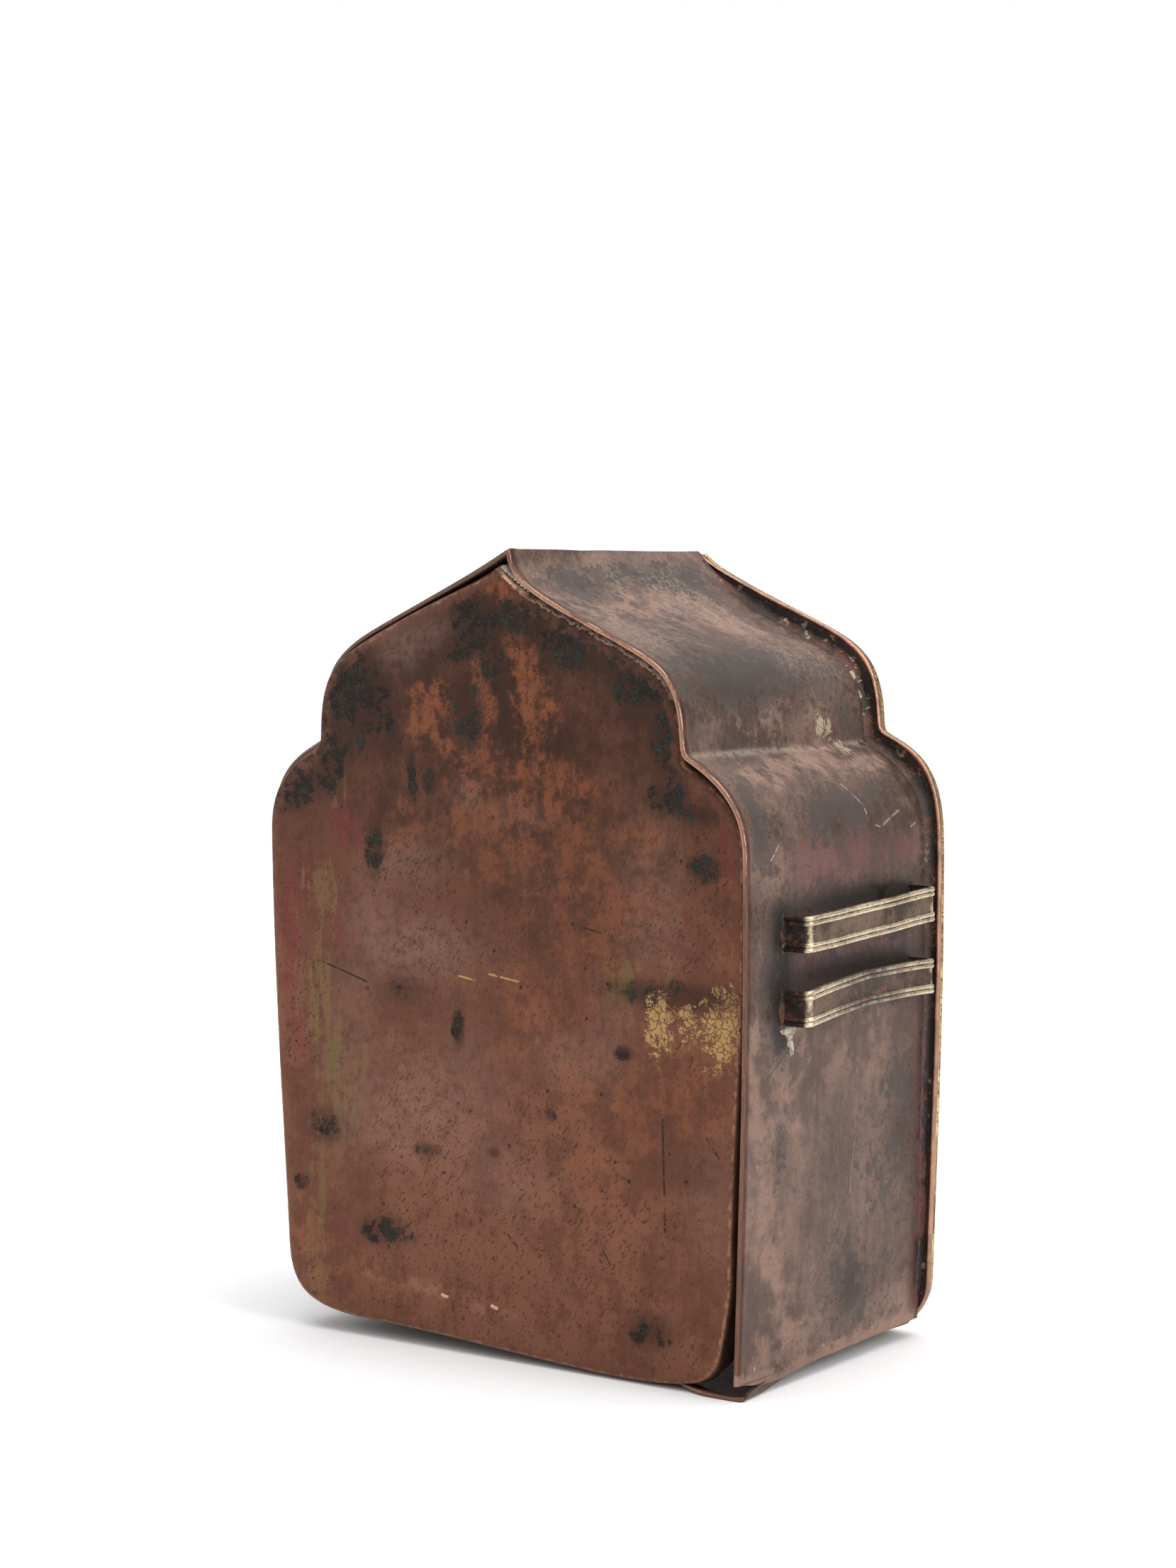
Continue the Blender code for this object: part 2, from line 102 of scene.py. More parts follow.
# %% Outline sizes, in mm
MM = 0.001
TOUCH_GAP = 0.3
CASE_HEIGHT = 150.0
TIP_SHIFT = 5.0
SLOPE_HALF = 24.0
SLOPE_HEIGHT = 136.1
SLOPE_ANGLE = math.radians(24.0)
NOTCH_HALF = 44.4
NOTCH_HEIGHT = 113.2
NOTCH_ANGLE = math.radians(28.0)
SHOULDER_HALF = 56.7
SHOULDER_END = 95.0
BASE_HALF = 53.8
SIDE_BELLY = 1.4
TIP_HANDLE = (9.0, -4.8)
TIP_HANDLE_CLOSED = (3.0, -3.0)
TIP_HANDLE_CURLED = (-0.8, -5.5)
SLOPE_HANDLE = 12.0
LOBE_HANDLES = (17.0, 15.4)
SHOULDER_HANDLES = (6.5, 10.7)
SIDE_HANDLE = 30.0
CORNER_START = 15.0
CORNER_RUN = 21.8
CORNER_HANDLES = (11.5, 17.0)
FAR_EXTRA = 1.4
HAND_LEAN = 0.012
CASE_DEPTH = 62.0
SHEET = 0.9
SAG_DEPTH = 2.1
SAG_FULL = BASE_HALF - 3.8
SAG_START = SAG_FULL - 30.0
FLOOR_LIFT = SAG_DEPTH + HAND_LEAN * (SAG_FULL + FAR_EXTRA / 2)
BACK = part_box("back_cover")[1].y / MM  # the cover's face; depth is counted from it
print("the cover's face is at", round(BACK, 2), "mm, the bottom line", round(FLOOR_LIFT, 2), "mm up")


# %% Curves
def v2(x, z):
    return np.array((x, z), dtype=float)


def curve(start, handle_a, handle_b, end, steps):
    """The points of a cubic curve after its start."""
    t = np.linspace(0, 1, steps + 1)[1:, None]
    u = 1 - t
    return start * u**3 + handle_a * 3 * u * u * t + handle_b * 3 * u * t * t + end * t**3


def ease(value):
    t = np.clip(value, 0.0, 1.0)
    return t * t * (3 - 2 * t)


def mix(a, b, share):
    return a + (b - a) * share


def spread(side, grow):
    return grow + FAR_EXTRA if side > 0 else grow


def placed(points, side=1):
    """Outline points as (x, height), with the lean of the whole box."""
    points = np.atleast_2d(points)
    x = side * points[:, 0] - FAR_EXTRA / 2
    return np.stack((x, points[:, 1] + HAND_LEAN * x + FLOOR_LIFT), axis=1)


# %% Half an outline
def half_outline(side, grow=0.0, curl=0.0, level=0.0):
    """Tip, slope, lobe and shoulder of one side, as four lists of points."""
    wide = spread(side, grow)
    along = v2(math.cos(SLOPE_ANGLE), -math.sin(SLOPE_ANGLE))
    out = v2(math.sin(SLOPE_ANGLE), math.cos(SLOPE_ANGLE))
    tip = v2(-side * TIP_SHIFT, CASE_HEIGHT + (grow - level) * 0.5)
    slope = v2(SLOPE_HALF, SLOPE_HEIGHT) + out * wide
    notch = v2(NOTCH_HALF + 0.75 * grow, NOTCH_HEIGHT + 0.6 * grow)
    shoulder = v2(SHOULDER_HALF + wide, SHOULDER_END)
    first = v2(*TIP_HANDLE)
    if side < 0:
        first = mix(v2(*TIP_HANDLE_CLOSED), v2(*TIP_HANDLE_CURLED), curl)
    away = v2(math.cos(NOTCH_ANGLE), -math.sin(NOTCH_ANGLE))
    lobe_handle = v2(0, LOBE_HANDLES[1] + 0.2 * grow)
    shoulder_handle = v2(0, SHOULDER_HANDLES[1] + 1.4 * wide)
    return [
        tip[None],
        curve(tip, tip + first, slope - along * SLOPE_HANDLE, slope, 34),
        curve(slope, slope + along * LOBE_HANDLES[0], notch + lobe_handle, notch, 40),
        curve(notch, notch + away * SHOULDER_HANDLES[0], shoulder + shoulder_handle, shoulder, 32),
    ]


def side_line(wide, low, steps=60):
    top = v2(SHOULDER_HALF + wide, SHOULDER_END)
    end = v2(BASE_HALF + wide, low)
    return curve(top, top - v2(0, SIDE_HANDLE), end + v2(SIDE_BELLY, SIDE_HANDLE), end, steps)


def low_corner(wide, low, steps):
    """The big round lower +X corner, down to a height."""
    start = v2(BASE_HALF + wide, CORNER_START)
    end = v2(BASE_HALF + wide - CORNER_RUN, low)
    first, last = CORNER_HANDLES
    return curve(start, start - v2(0, first), end + v2(last, 0), end, steps)


def looped(near, far):
    """Joins two halves, each from the tip down, into one closed outline by way of -X."""
    bridge = mix(near[-1], far[-1], np.linspace(0, 1, 42)[1:-1, None])
    return np.vstack((near, bridge, far[:0:-1]))


def lengths(points):
    """How far along a line each of its points lies."""
    return np.concatenate(((0.0,), np.cumsum(np.linalg.norm(np.diff(points, axis=0), axis=1))))


def softened(points, times, closed=False, tip=None):
    """Rounds the folds of an outline a little by averaging neighbours, less so at the tip."""
    points = points.copy()
    give = np.full((len(points), 1), 0.5)
    if tip is not None:
        give[:, 0] *= ease((np.abs(np.arange(len(points)) - tip) - 0.5) / 5.0)
    for _ in range(times):
        before = np.roll(points, 1, axis=0)
        after = np.roll(points, -1, axis=0)
        moved = mix(points, (before + after) / 2, give)
        if not closed:
            moved[0], moved[-1] = points[0], points[-1]
        points = moved
    return points


def outward(points, turn, closed=False):
    """Unit normals of an outline in its plane. turn is 1 or -1, by its direction."""
    if closed:
        run = np.roll(points, -1, axis=0) - np.roll(points, 1, axis=0)
    else:
        run = np.gradient(points, axis=0)
    run /= np.linalg.norm(run, axis=1)[:, None] + 1e-9
    return turn * np.stack((-run[:, 1], run[:, 0]), axis=1)


print("half an outline has", sum(len(part) for part in half_outline(1)), "points")

# %% [markdown]
# ## Sheets as grids
# Every sheet here is a grid of points: one direction follows the outline, and the other goes
# round the sheet's section, over its outer face, round its edge and back along its inner face.
# That gives closed sheets with rounded edges and real thickness, and a place in the grid for
# dents. A Solidify modifier would be shorter, but its edges are square and its dents uneven.

# %% Grid to mesh
shown = []


def store(mesh, name, values):
    """Keeps one number for each point of a mesh, which shaders read by its name."""
    layer = mesh.attributes.new(name, "FLOAT", "POINT")
    layer.data.foreach_set("value", np.ascontiguousarray(values, dtype=np.float32).reshape(-1))


def grid_object(name, grid, around=False, caps=False, joined=True, values=None, sharp=50):
    """A closed skin over grid[row][column], whose columns run round the section."""
    rows, cols = grid.shape[:2]
    index = np.arange(rows * cols).reshape(rows, cols)
    near = index if around else index[:-1]
    far = np.roll(index, -1, axis=0) if around else index[1:]
    faces = np.stack((near, np.roll(near, -1, axis=1), np.roll(far, -1, axis=1), far), axis=2)
    faces = faces if joined else faces[:, :-1]
    faces = faces.reshape(-1, 4).tolist()
    if caps:
        half = cols // 2
        for row, turn in ((index[0], 1), (index[-1], -1)):
            for k in range(half - 1):
                quad = [row[k], row[k + 1], row[cols - 2 - k], row[cols - 1 - k]]
                faces.append([int(v) for v in quad[::-turn]])
    mesh = bpy.data.meshes.new(name)
    mesh.from_pydata((grid.reshape(-1, 3) * MM).tolist(), [], faces)
    for key, value in (values or {}).items():
        store(mesh, key, value)
    return finish_mesh(name, mesh, sharp)


def finish_mesh(name, mesh, sharp=50):
    """Cleans a mesh, turns its faces outwards and makes its object."""
    bm = bmesh.new()
    bm.from_mesh(mesh)
    bmesh.ops.remove_doubles(bm, verts=bm.verts, dist=0.002 * MM)
    bmesh.ops.recalc_face_normals(bm, faces=bm.faces)
    if bm.calc_volume(signed=True) < 0:
        bmesh.ops.reverse_faces(bm, faces=bm.faces)
    bm.to_mesh(mesh)
    open_edges = sum(1 for edge in bm.edges if len(edge.link_faces) != 2)
    bm.free()
    mesh.shade_smooth()
    mesh.set_sharp_from_angle(angle=math.radians(sharp))
    obj = bpy.data.objects.new(name, mesh)
    bpy.context.scene.collection.objects.link(obj)
    shown.append(obj)
    print(name, len(mesh.polygons), "faces,", open_edges, "open edges")
    return obj


def ripple(points, size, seed):
    """Smooth noise from -1 to 1 at points in mm, with waves about as long as size."""
    shift = Vector((seed * 7.3, seed * 3.1, seed * 5.7))
    flat = points.reshape(-1, 3) / size
    values = [noise.noise(Vector(p) + shift) for p in flat]
    return np.array(values).reshape(points.shape[:-1])


def rippled(points, *waves):
    """The sum of ripples, each given as (height, size, seed)."""
    return sum(height * ripple(points, size, seed) for height, size, seed in waves)


def at_depth(flat, depth):
    """Outline points (x, height) at depths behind the cover's face, in mm."""
    depth = np.broadcast_to(depth, flat.shape[:-1])
    return np.stack((flat[..., 0], BACK - depth, flat[..., 1]), axis=-1)


# %% [markdown]
# ## The case band
# The sides, the top and the bottom are one strip of copper. It was bent over a former and
# closed by a lap at the lower -X corner, which has come loose and hangs below the cover.
# Its rear edge is turned out into a thick rounded rim where it stands proud of the cover. We
# draw the strip once for each depth, so that the ogee point can flatten towards the front.

# %% The strip in one section
FRAME_SHEET = 1.3
CASE_FRONT = CASE_DEPTH - FRAME_SHEET - TOUCH_GAP
EDGE_PROUD = 1.8
EDGE_PROUD_TIP = 0.7
EDGE_SET_BACK = 3.0
LAP_GAP = 0.3
WALL = BASE_HALF - SHEET - LAP_GAP
LOOSE_WALL = 54.0
TURN_END = BASE_HALF - 6.8
TURN_START = TURN_END - 12.0
SIDE_PUSH = 1.1


def pushed(points):
    """Moves the -X side below its notch outwards, as the hand-hammered side stands."""
    share = ease((-points[:, 0] - 42.0) / 8.0) * ease((117.0 - points[:, 1]) / 14.0)
    return points - v2(1, 0) * (SIDE_PUSH * share)[:, None]


def sag_share(x):
    return ease((-x - SAG_START) / (SAG_FULL - SAG_START)) ** 1.4


def strip(depth):
    """The case strip at one depth, and how far behind the cover's face its edge starts."""
    share = depth / CASE_FRONT
    curl = 1 - ease(depth / 34.0)
    shut = ease((depth - 3.0) / 16.0)
    near, far = half_outline(-1, 0.0, curl), half_outline(1, 0.0, curl)
    wide = spread(1, 0.0)
    parts = []

    def add(points, first, last):
        steps = np.arange(1, len(points) + 1) / len(points)
        parts.append(np.column_stack((points, mix(first, last, ease(steps)))))

    low = -0.35 + 1.5 * share**2 + 1.5 * (1 - ease(depth / 10.0))
    low += ease((depth - 12.0) / 15.0) * mix(1.2, 0.5, share)
    side = np.vstack((side_line(0.0, low)[::-1], near[3][-1:]))
    add(placed(side, -1), -EDGE_PROUD, -EDGE_PROUD)
    for k, first, last in ((3, 1.0, 0.9), (2, 0.9, 0.7), (1, 0.7, EDGE_PROUD_TIP / EDGE_PROUD)):
        run = np.vstack((near[k][-2::-1], near[k - 1][-1:]))
        add(placed(run, -1), -EDGE_PROUD * first, -EDGE_PROUD * last)
    corner = low_corner(wide, 0.0, 30)
    for run, first, last in (
        (far[1], -EDGE_PROUD_TIP, EDGE_SET_BACK * 0.7),
        (far[2], EDGE_SET_BACK * 0.7, EDGE_SET_BACK * 0.9),
        (far[3], EDGE_SET_BACK * 0.9, EDGE_SET_BACK),
        (side_line(wide, CORNER_START), EDGE_SET_BACK, EDGE_SET_BACK),
        (corner, EDGE_SET_BACK, EDGE_SET_BACK),
    ):
        add(placed(run), first, last)

    sag = SAG_DEPTH * (1 - ease((depth - 7.0) / 27.0))
    wall, reach, height = mix(LOOSE_WALL, WALL, shut), mix(2.8, 1.5, shut), mix(0.6, 1.5, shut)
    for first_x, last_x, steps, first, last in (
        (corner[-1][0], -SAG_START, 22, EDGE_SET_BACK, EDGE_SET_BACK),
        (-SAG_START, -TURN_START, 12, EDGE_SET_BACK, EDGE_SET_BACK),
        (-TURN_START, -TURN_END, 20, EDGE_SET_BACK, -LAP_GAP),
        (-TURN_END, -(wall - reach), 6, -LAP_GAP, -LAP_GAP),
    ):
        x = np.linspace(first_x, last_x, steps + 1)[1:]
        add(placed(np.stack((x, -sag * sag_share(x)), axis=1)), first, last)
    turn = np.radians(np.linspace(15, 90, 6))
    x = -(wall - reach) - reach * np.sin(turn)
    bend = np.stack((x, height * (1 - np.cos(turn))), axis=1)
    torn = 0.6 * noise.noise(Vector((depth / 2.3, 4.0, 0.0)))
    torn += 0.3 * noise.noise(Vector((depth / 0.8, 9.0, 0.0)))
    flange = mix(1.4, 5.0, ease(share * 2 - 0.4))
    top = v2(-wall, height + mix(0.4 + 0.5 * torn, flange + torn, shut))
    bend = np.vstack((bend, mix(bend[-1], top, 0.5), top)) - v2(0, sag)
    add(placed(bend), -LAP_GAP, 0.0)
    whole = np.vstack(parts)
    return pushed(softened(whole[:, :2], 3, tip=int(np.argmax(whole[:, 1])))), whole[:, 2]


# %% The band's section and its dents
RIM_RUNS = (5.0, 3.6, 2.7, 2.1, 1.6, 1.2, 0.85)
RIM_SWELL = (0.0, 0.0, 0.02, 0.07, 0.14, 0.2, 0.25)
RIM_CENTRE = -0.28
RIM_RADIUS = 0.53
RIM_ANGLES = (62, 40, 18, -4, -26, -48, -70)
BAND_DENTS = ((0.34, 26.0, 1), (0.13, 9.0, 2), (0.035, 3.2, 3))
BAND_TOP = cad_box[1].z / MM - 0.12
BAND_BOTTOM = 0.02


def band_columns():
    """Section of the sheet as (offset, run behind its edge or None, depth, face)."""
    columns = [(0.0, None, d, 1.0) for d in np.linspace(CASE_FRONT, 8.0, 46)]
    columns += [(swell, run, run, 1.0) for run, swell in zip(RIM_RUNS, RIM_SWELL)]
    for angle in np.radians(RIM_ANGLES):
        across = RIM_CENTRE + RIM_RADIUS * math.sin(angle)
        columns.append((across, RIM_RADIUS * (1 - math.cos(angle)), 0.0, 1.0))
    columns += [(-SHEET, run, run, 0.0) for run in (1.0, 2.0, 4.0)]
    columns += [(-SHEET, None, d, 0.0) for d in np.linspace(8.0, CASE_FRONT, 14)]
    return columns


columns = band_columns()
grid, rear = [], []
for offset, run, depth, face in columns:
    flat, edge = strip(max(0.0, depth))
    normal = outward(flat, 1)
    point_depth = edge + run if run is not None else np.full(len(flat), depth)
    base = at_depth(flat, point_depth)
    dents = rippled(base, *BAND_DENTS)
    free = ease((point_depth - 13.0) / 8.0) * ease((CASE_FRONT - point_depth) / 6.0)
    dents = np.where(dents < 0, dents * free, dents * mix(0.4, 1.0, free))
    flat = flat + normal * (offset + dents)[:, None]
    flat[:, 1] = np.clip(flat[:, 1], BAND_BOTTOM, BAND_TOP)
    grid.append(at_depth(flat, point_depth))
    rear.append(np.maximum(0.0, point_depth - edge))
grid = np.stack(grid, axis=1)
rear = np.stack(rear, axis=1)
length = lengths(grid[:, 0])
low_edge = np.repeat(length[:, None], grid.shape[1], axis=1)
inside = np.broadcast_to([1.0 - column[3] for column in columns], grid.shape[:2])
values = {"rear": rear, "low": low_edge, "inside": inside}
band = grid_object("case_band_sheet", grid, caps=True, values=values)
print("the strip is", round(length[-1]), "mm long")

# %% [markdown]
# ## The back cover
# A shallow tray: a flat plate with a hammered, rounded edge and a wall that goes into the case.
# A plate with dents needs points all over its face, so we run rings from the outline to a
# short line in the middle, as ripples run, and let noise and a few placed dents lift them.

# %% The cover's outline
COVER_SHEET = 0.9
COVER_ROUND = 1.4
COVER_INSIDE = SHEET + 0.4
COVER_PINCH = 1.9
COVER_LOW_SIDE = 18.0
COVER_TIP = (1.8, CASE_HEIGHT - 2.7)
COVER_TIP_HANDLES = ((1.2, -3.6), (3.3, -2.6))
COVER_DROPS = (0.8, 0.0)
COVER_LOW_END = (BASE_HALF - 10.8, -0.7)
COVER_BOW = 3.3


def cover_outline():
    """The cover's outline from its apex down the -X side, and where its lip is low."""
    grow = -COVER_INSIDE
    halves = []
    for side, handle, drop in zip((-1, 1), COVER_TIP_HANDLES, COVER_DROPS):
        parts = half_outline(side, grow, 1.0)
        tip = v2(-side * COVER_TIP[0], COVER_TIP[1])
        slope = parts[1][-1]
        rise = slope - v2(math.cos(SLOPE_ANGLE), -math.sin(SLOPE_ANGLE)) * SLOPE_HANDLE
        lobe = parts[2] - v2(0, 1) * (drop * ease(np.linspace(0, 1, len(parts[2]))))[:, None]
        fall = drop * (1 - np.linspace(0, 1, len(parts[3])))
        shoulder = parts[3] - v2(0, 1) * fall[:, None]
        rising = curve(tip, tip + v2(*handle), rise, slope, 34)
        halves.append(np.vstack((tip, rising, lobe, shoulder)))
    near, far = halves
    wide = spread(1, grow)
    low_side = v2(BASE_HALF + grow - COVER_PINCH * 0.4, COVER_LOW_SIDE)
    low_end = v2(*COVER_LOW_END)
    top = v2(SHOULDER_HALF + grow, SHOULDER_END)
    pressed = curve(top, top - v2(0, SIDE_HANDLE), low_side + v2(0, 24.0), low_side, 50)
    first = low_side - v2(COVER_PINCH, COVER_LOW_SIDE * 0.6)
    last = v2(low_side[0] - COVER_PINCH * 1.6, low_end[1])
    corner = curve(low_side, first, last, low_end, 26)
    near = placed(np.vstack((near, pressed, corner)), -1)
    far = placed(np.vstack((far, side_line(wide, CORNER_START, 50), low_corner(wide, 0.3, 26))))
    first, last = near[-1], far[-1]
    bowed = mix(first, last, 0.2) - v2(0, COVER_BOW)
    bottom = curve(first, bowed, mix(first, last, 0.55), last, 60)
    whole = np.vstack((near, bottom[:-1], far[:0:-1]))
    low = np.zeros(len(whole))
    low[len(near) - 14 : len(near) + 86] = 1.0
    return pushed(softened(whole, 2, closed=True)), softened(low[:, None], 30, closed=True)[:, 0]


# %% The cover's rings
PLATE_RIPPLES = ((0.30, 34.0, 4), (0.11, 12.0, 5), (0.03, 4.0, 6))
PLATE_DENTS = (  # x, height, half width, half height, rise
    (6.0, 13.0, 24.0, 3.6, -0.45),
    (12.0, 9.6, 6.0, 1.6, 0.22),
    (0.5, 9.0, 4.0, 1.4, 0.2),
    (27.0, 72.0, 9.0, 12.0, 0.28),
    (-18.0, 60.0, 16.0, 9.0, -0.25),
    (-30.0, 108.0, 12.0, 8.0, -0.2),
    (34.0, 30.0, 8.0, 14.0, 0.2),
    (-36.0, 24.0, 7.0, 12.0, 0.25),
)


def plate_dents(x, z):
    """How far the cover's face stands out at a place, in mm."""
    flat = np.stack((x, np.zeros_like(x), z), axis=-1)
    rise = rippled(flat, *PLATE_RIPPLES)
    for dent_x, dent_z, wide, high, depth in PLATE_DENTS:
        rise += depth * np.exp(-(((x - dent_x) / wide) ** 2) - ((z - dent_z) / high) ** 2)
    return rise


outline, low_lip = cover_outline()
normal = outward(outline, -1, closed=True)
mirror = np.roll(outline[::-1], 1, axis=0)
spine_height = 40.0 + 65.0 * (outline[:, 1] + mirror[:, 1]) / 300.0
spine = np.stack((np.full(len(outline), -1.0), spine_height), axis=1)
wall_depth = mix(12.0, 2.5, low_lip)
rings, from_edge, inner = [], [], []


def cover_ring(inset, depth, share=0.0, inside=0.0):
    """One ring, inset from the outline, or share of the way to the middle line."""
    flat = mix(outline - normal * inset, spine, share)
    rise = plate_dents(flat[:, 0], flat[:, 1]) * ease(share * 14 + 0.25)
    rings.append(at_depth(flat, depth - rise))
    from_edge.append(np.linalg.norm(flat - outline, axis=1))
    inner.append(np.full(len(flat), inside))


for share in np.linspace(1.0, 0.0, 44):
    cover_ring(COVER_ROUND, 0.0, share)
for angle in np.radians((18, 36, 54, 72, 90)):
    cover_ring(COVER_ROUND * (1 - math.sin(angle)), COVER_ROUND * (1 - math.cos(angle)))
for share in (0.25, 0.6, 1.0):
    cover_ring(0.0, mix(COVER_ROUND, wall_depth, share))
for share in (1.0, 0.5, 0.0):
    cover_ring(COVER_SHEET, mix(COVER_ROUND + 0.3, wall_depth, share), inside=1.0)
cover_ring(COVER_ROUND + 0.5, COVER_SHEET, inside=1.0)
for share in np.linspace(0.0, 1.0, 12):
    cover_ring(COVER_ROUND + 0.8, COVER_SHEET, share, 1.0)
grid = np.stack(rings, axis=1)
values = {"edge": np.stack(from_edge, axis=1), "inside": np.stack(inner, axis=1)}
cover = grid_object("back_cover_tray", grid, around=True, joined=False, values=values)

# %% [markdown]
# ## The front frame
# The case is soldered to a flat frame that stands out past it all round. Its outer edge is
# rounded by years of handling and isn't quite straight. One grid goes round its section.

# %% The frame
FRAME_OVERHANG = 3.8
FRAME_INSIDE = 6.0
FRAME_CORNER = 10.0
FRAME_DROP = 0.8
FRAME_WIDTH = 10.0
FRAME_WAVES = ((0.16, 14.0, 7), (0.05, 3.0, 8))


def closed_outline(grow, corner, bottom):
    """A whole outline with rounded lower corners, round from the tip by -X."""
    halves = []
    for side in (-1, 1):
        wide = spread(side, grow)
        width = BASE_HALF + wide
        half = np.vstack(half_outline(side, grow, level=FRAME_OVERHANG))
        half = np.vstack((half, side_line(wide, bottom + corner)))
        start, end = half[-1], v2(width - corner, bottom)
        square = v2(width, bottom)
        turn = curve(start, mix(start, square, 0.55), mix(end, square, 0.55), end, 20)
        halves.append(placed(np.vstack((half, turn)), side))
    return softened(looped(*halves), 2, closed=True)


outer = closed_outline(FRAME_OVERHANG, FRAME_CORNER, -FRAME_DROP)
inner = closed_outline(-FRAME_INSIDE, FRAME_CORNER - FRAME_INSIDE, FRAME_INSIDE)
normal = outward(outer, -1, closed=True)
outer = outer + normal * (rippled(at_depth(outer, 60.0), *FRAME_WAVES) - 0.1)[:, None]
half_sheet = FRAME_SHEET / 2
middle = CASE_DEPTH - half_sheet
rings, away = [], []


def flat_ring(share, depth):
    """A ring on a flat side of the frame, a share of the way to its opening."""
    rings.append(at_depth(mix(outer, inner, share), depth))
    away.append(share * FRAME_WIDTH)


for share in (1.0, 0.75, 0.5, 0.3, 0.15, 0.05):
    flat_ring(share, middle - half_sheet)
for angle in np.radians(np.linspace(90, -90, 11)):
    flat = outer - normal * (half_sheet * 0.8) * (1 - math.cos(angle))
    rings.append(at_depth(flat, middle - half_sheet * math.sin(angle)))
    away.append(0.0)
for share in (0.05, 0.5, 1.0):
    flat_ring(share, middle + half_sheet)
grid = np.stack(rings, axis=1)
away = np.broadcast_to(np.array(away), grid.shape[:2])
front_frame = grid_object("front_frame_plate", grid, around=True, values={"edge": away})

# %% [markdown]
# ## The gilt face
# The front of a travelling gau is a thin gilt sheet, worked from behind, with an arched window
# through which its image is seen. Here it has a raised border and a raised window moulding,
# each with a row of beads, and a plain ground between them, matted with small punch marks.

# %% The face
FACE_SHEET = 0.8
FACE_BORDER = 2.4
FACE_RELIEF = 0.8
FACE_DEPTH = CASE_DEPTH + TOUCH_GAP + FACE_SHEET
WINDOW_HALF = 27.0
WINDOW_BOTTOM = 30.0
WINDOW_SPRING = 74.0
WINDOW_TIP = 108.0
WINDOW_MOULDING = 4.0


def window_outline(grow):
    """An ogee arch with as many points as closed_outline gives."""
    halves = []
    for side in (-1, 1):
        tip = v2(0.0, WINDOW_TIP + grow * 1.5)
        spring = v2(WINDOW_HALF + grow, WINDOW_SPRING)
        low = v2(WINDOW_HALF + grow, WINDOW_BOTTOM - grow)
        rise = WINDOW_TIP - WINDOW_SPRING
        first, last = tip + v2(WINDOW_HALF * 0.3, -rise * 0.5), spring + v2(0, rise * 0.75)
        arch = curve(tip, first, last, spring, 106)
        down = mix(spring, low, np.linspace(0, 1, 81)[1:, None])
        halves.append(placed(np.vstack((tip, arch, down)), side))
    return looped(*halves)


def face_outline(inset):
    edge = FRAME_OVERHANG - 0.5 - inset
    return closed_outline(edge, FRAME_CORNER - inset, 0.5 - FRAME_DROP + inset)


rings, hollow = [], []


def face_ring(loop, lift, dirt):
    rings.append(at_depth(loop, FACE_DEPTH + lift))
    hollow.append(dirt)


def raised(share):
    """The height of a moulding, from 0 to 1, a share of the way over it."""
    return math.sin(math.pi * share) ** 0.7 if 0 < share < 1 else 0.0


for share in np.linspace(0, 1, 13):
    lift = raised(share)
    face_ring(face_outline(FACE_BORDER * share), FACE_RELIEF * lift, 1 - lift)
field_out, field_in = face_outline(FACE_BORDER), window_outline(WINDOW_MOULDING)
for share in np.linspace(0, 1, 18)[1:-1]:
    face_ring(mix(field_out, field_in, share), 0.0, 0.6)
for share in np.linspace(0, 1, 15):
    lift = raised(share)
    face_ring(window_outline(WINDOW_MOULDING * (1 - share)), FACE_RELIEF * lift, 1 - lift)
for share in np.linspace(0, 1, 8):
    face_ring(mix(window_outline(0.15), face_outline(0.2), share), -FACE_SHEET, 1.0)
grid = np.stack(rings, axis=1)
hollow = np.broadcast_to(np.array(hollow), grid.shape[:2])
face = grid_object("gilt_face", grid, around=True, values={"hollow": hollow}, sharp=60)

# %% [markdown]
# ## Strap loops
# Each loop is a short length of embossed ribbon, bent at both ends and soldered to the side. The
# ribbon has two ribs along each edge, with a groove between them, and a sunk middle. We sweep
# its section along the bent path. The lower -X loop has a kink.

# %% Ribbon section and path
LOOP_WIDTH = 6.5
LOOP_SHEET = 0.9
LOOP_RIB = 0.35
LOOP_STANDOFF = 7.0
LOOP_REAR = 10.3
LOOP_SPAN = 44.0
LOOP_CORNER = 1.3
LOOP_PLACES = (("upper", 81.1, 2.1, 0.0), ("lower", 67.8, 1.7, 0.9))  # level, height, rise, kink
RIB_PLACES = (2.84, 1.93)
RIB_HALF = 0.44


def rib_height(across):
    """How far the ribbon's face stands out, from 0 to 1, at a distance from its middle."""
    height = 0.0
    for place in RIB_PLACES:
        reach = min(1.0, abs(abs(across) - place) / RIB_HALF)
        height = max(height, math.sqrt(max(0.0, 1 - reach * reach)))
    return height


def loop_path(rise, kink):
    """The ribbon's middle line as (stand-off, depth, height change), finely divided."""
    out = LOOP_STANDOFF - LOOP_RIB - 0.03
    near, far, corner = LOOP_REAR, LOOP_REAR + LOOP_SPAN, LOOP_CORNER
    path = [(s, near) for s in np.linspace(TOUCH_GAP - 0.2, out - corner, 8)]
    turns = np.radians(np.linspace(180, 0, 15))
    bend = [(out - corner + corner * math.sin(t), corner * math.cos(t)) for t in turns]
    path += [(stand, near + corner + run) for stand, run in bend[1:8]]
    for depth in np.linspace(near + corner, far - corner, 44)[1:-1]:
        share = (depth - near) / LOOP_SPAN
        path.append((out - kink * 4 * share * (1 - share), depth))
    path += [(stand, far - corner + run) for stand, run in bend[7:]]
    path += [(s, far) for s in np.linspace(out - corner, TOUCH_GAP - 0.2, 8)[1:]]
    path = np.array(path)
    share = (path[:, 1] - near) / LOOP_SPAN
    lift = rise * share + kink * (1 - np.abs(2 * share - 1)) ** 0.8
    return path, lift


